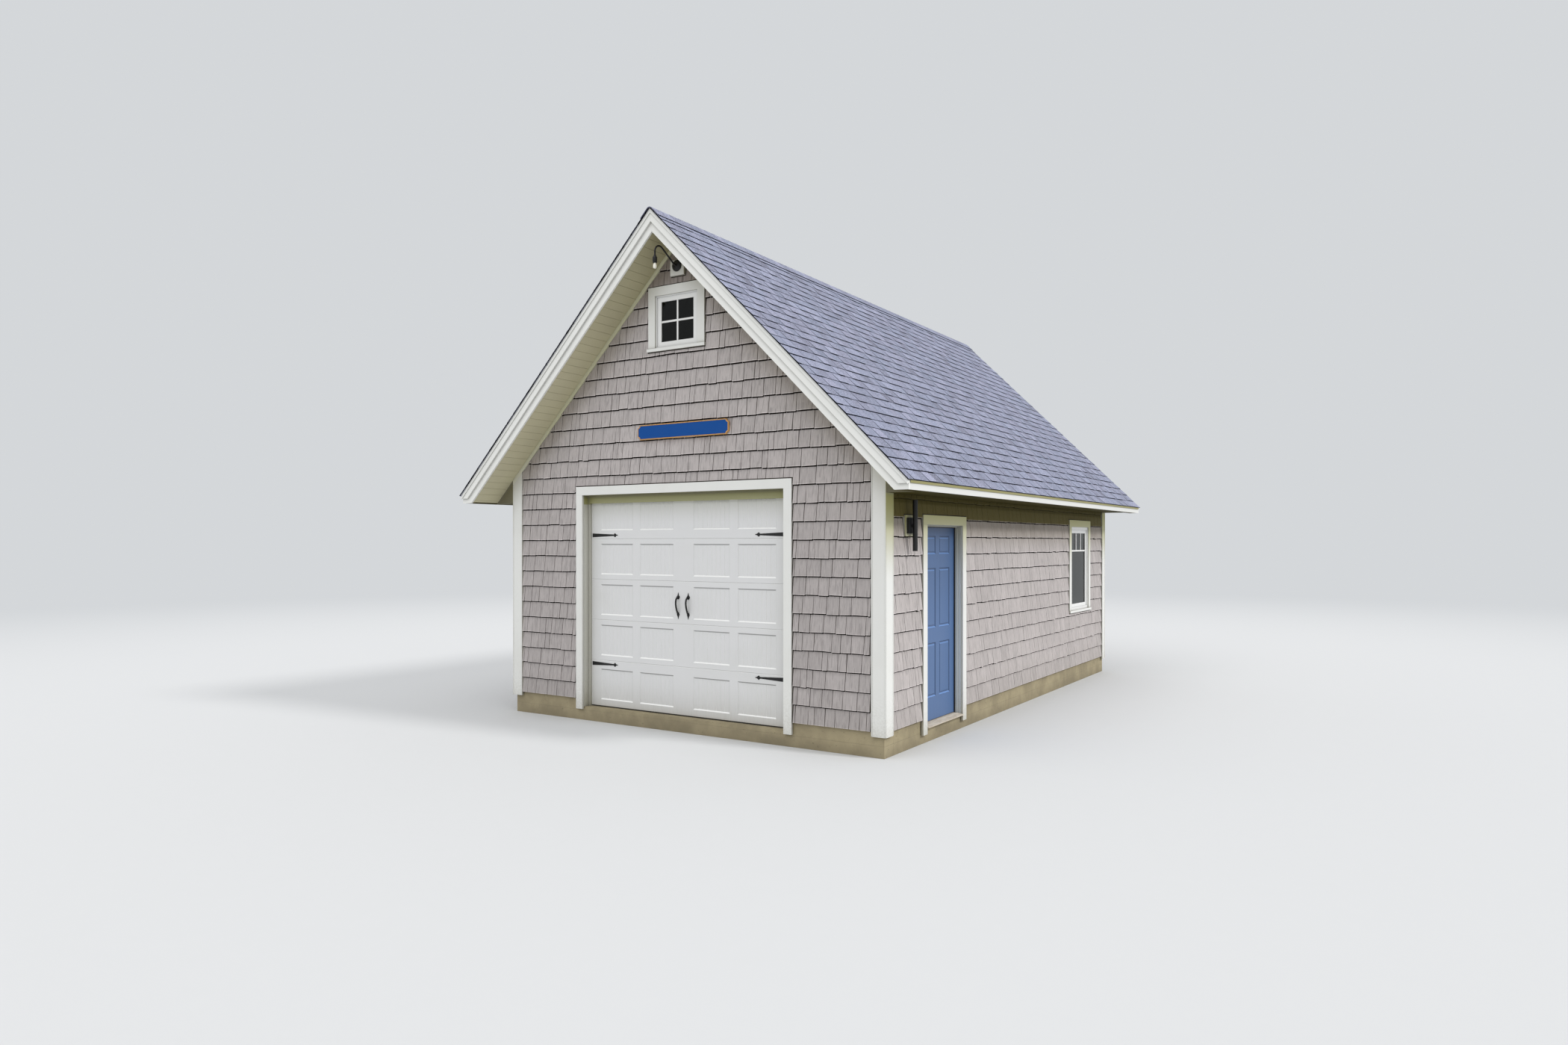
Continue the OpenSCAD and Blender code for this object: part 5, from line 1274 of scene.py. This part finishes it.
class BOATHOUSE_OT_stage(bpy.types.Operator):
    """Pale floor, soft light and the camera"""
    bl_idname = "boathouse.stage"
    bl_label = "Stage"

    def execute(self, context):
        scene = context.scene
        self.camera(scene)
        self.floor(scene.boathouse_colours.floor)
        self.light(scene)
        scene.view_settings.view_transform = "Standard"
        return {"FINISHED"}

    def camera(self, scene):
        """The photograph's point of view."""
        data = bpy.data.cameras.new("camera")
        data.sensor_width = 36.0
        data.lens = FOCAL / IMAGE_W * data.sensor_width
        data.shift_x = (IMAGE_W / 2 - MIDDLE_X) / IMAGE_W
        data.shift_y = (MIDDLE_Y - IMAGE_H / 2) / IMAGE_W
        data.clip_start, data.clip_end = 0.1, 500.0
        camera = bpy.data.objects.new("camera", data)
        camera.location = CAMERA_PLACE
        camera.rotation_euler = (math.radians(90), 0.0, math.radians(CAMERA_TURN))
        scene.collection.objects.link(camera)
        scene.camera = camera

    def floor(self, tint):
        """Disc just under the building, which fades into the backdrop."""
        s = Shade("floor_paint")
        fade_start, fade_end, radius, drop = 9.0, 30.0, 120.0, 0.001
        away = s.node("ShaderNodeVectorMath", {"operation": "LENGTH"}, {0: s.where}, out="Value")
        fade = s.band(away, fade_start, fade_end)
        grit = s.noise((6, 6, 6), 4.0, 0.6)
        base = s.mix(grit * 0.1, tint, times(tint, 0.9))
        plain = s.node("ShaderNodeBsdfDiffuse", None, {"Color": base})
        bright = s.node("ShaderNodeEmission", None, {"Color": (*BACKDROP, 1.0)})
        mixed = s.node("ShaderNodeMixShader", None, {0: fade * s.seen(), 1: plain, 2: bright})
        s.node("ShaderNodeOutputMaterial", None, {"Surface": mixed})
        form = bmesh.new()
        bmesh.ops.create_circle(form, cap_ends=True, segments=96, radius=radius)
        mesh = bpy.data.meshes.new("floor")
        form.to_mesh(mesh)
        form.free()
        mesh.materials.append(s.owner)
        ground = bpy.data.objects.new("floor", mesh)
        ground.location.z = CAD_BOX[0].z - drop
        bpy.context.scene.collection.objects.link(ground)

    def light(self, scene):
        """Pale sky, a key lamp from the right and a broad lamp from above."""
        s = Shade("pale_sky", bpy.data.worlds)
        backdrop = s.node("ShaderNodeBackground", None, {"Color": (*BACKDROP, 1.0)})
        sky = s.node("ShaderNodeBackground", None, {"Color": (0.97, 0.985, 1.0, 1.0), "Strength": 0.71})
        mixed = s.node("ShaderNodeMixShader", None, {0: s.seen(), 1: sky, 2: backdrop})
        s.node("ShaderNodeOutputWorld", None, {"Surface": mixed})
        scene.world = s.owner
        lamps = (("key", 1.48, 8, (1.0, 0.99, 0.98), (0.80, 0.10, 0.60)),
                 ("top", 1.22, 70, (1.0, 1.0, 1.0), (0.12, -0.46, 0.88)))
        for name, energy, spread, tint, toward in lamps:
            lamp = bpy.data.lights.new(name, "SUN")
            lamp.energy, lamp.angle, lamp.color = energy, math.radians(spread), tint
            sun = bpy.data.objects.new(name, lamp)
            sun.rotation_euler = Vector(toward).to_track_quat("Z", "Y").to_euler()
            scene.collection.objects.link(sun)


OPERATORS = (BOATHOUSE_OT_stage, BOATHOUSE_OT_structure, BOATHOUSE_OT_siding, BOATHOUSE_OT_roof,
             BOATHOUSE_OT_trim, BOATHOUSE_OT_soffits, BOATHOUSE_OT_garage_door, BOATHOUSE_OT_side_door,
             BOATHOUSE_OT_windows, BOATHOUSE_OT_lights, BOATHOUSE_OT_name_board)


class BOATHOUSE_PT_sidebar(bpy.types.Panel):
    """Lists the settings and the operators"""
    bl_idname = "BOATHOUSE_PT_sidebar"
    bl_label = "Boathouse"
    bl_space_type = "VIEW_3D"
    bl_region_type = "UI"
    bl_category = "Boathouse"

    def draw(self, context):
        for group in (context.scene.boathouse_sizes, context.scene.boathouse_colours):
            column = self.layout.column(align=True)
            for name in group.bl_rna.properties.keys():
                if name not in ("rna_type", "name"):
                    column.prop(group, name)
        for operator in OPERATORS:
            self.layout.operator(operator.bl_idname)


CLASSES = (BoathouseSizes, BoathouseColours, *OPERATORS, BOATHOUSE_PT_sidebar)


def register():
    for cls in CLASSES:
        bpy.utils.register_class(cls)
    bpy.types.Scene.boathouse_sizes = PointerProperty(type=BoathouseSizes)
    bpy.types.Scene.boathouse_colours = PointerProperty(type=BoathouseColours)


def unregister():
    del bpy.types.Scene.boathouse_colours
    del bpy.types.Scene.boathouse_sizes
    for cls in reversed(CLASSES):
        bpy.utils.unregister_class(cls)


def main():
    register()
    for operator in OPERATORS:
        group, name = operator.bl_idname.split(".")
        getattr(getattr(bpy.ops, group), name)()


if __name__ == "__main__":
    main()
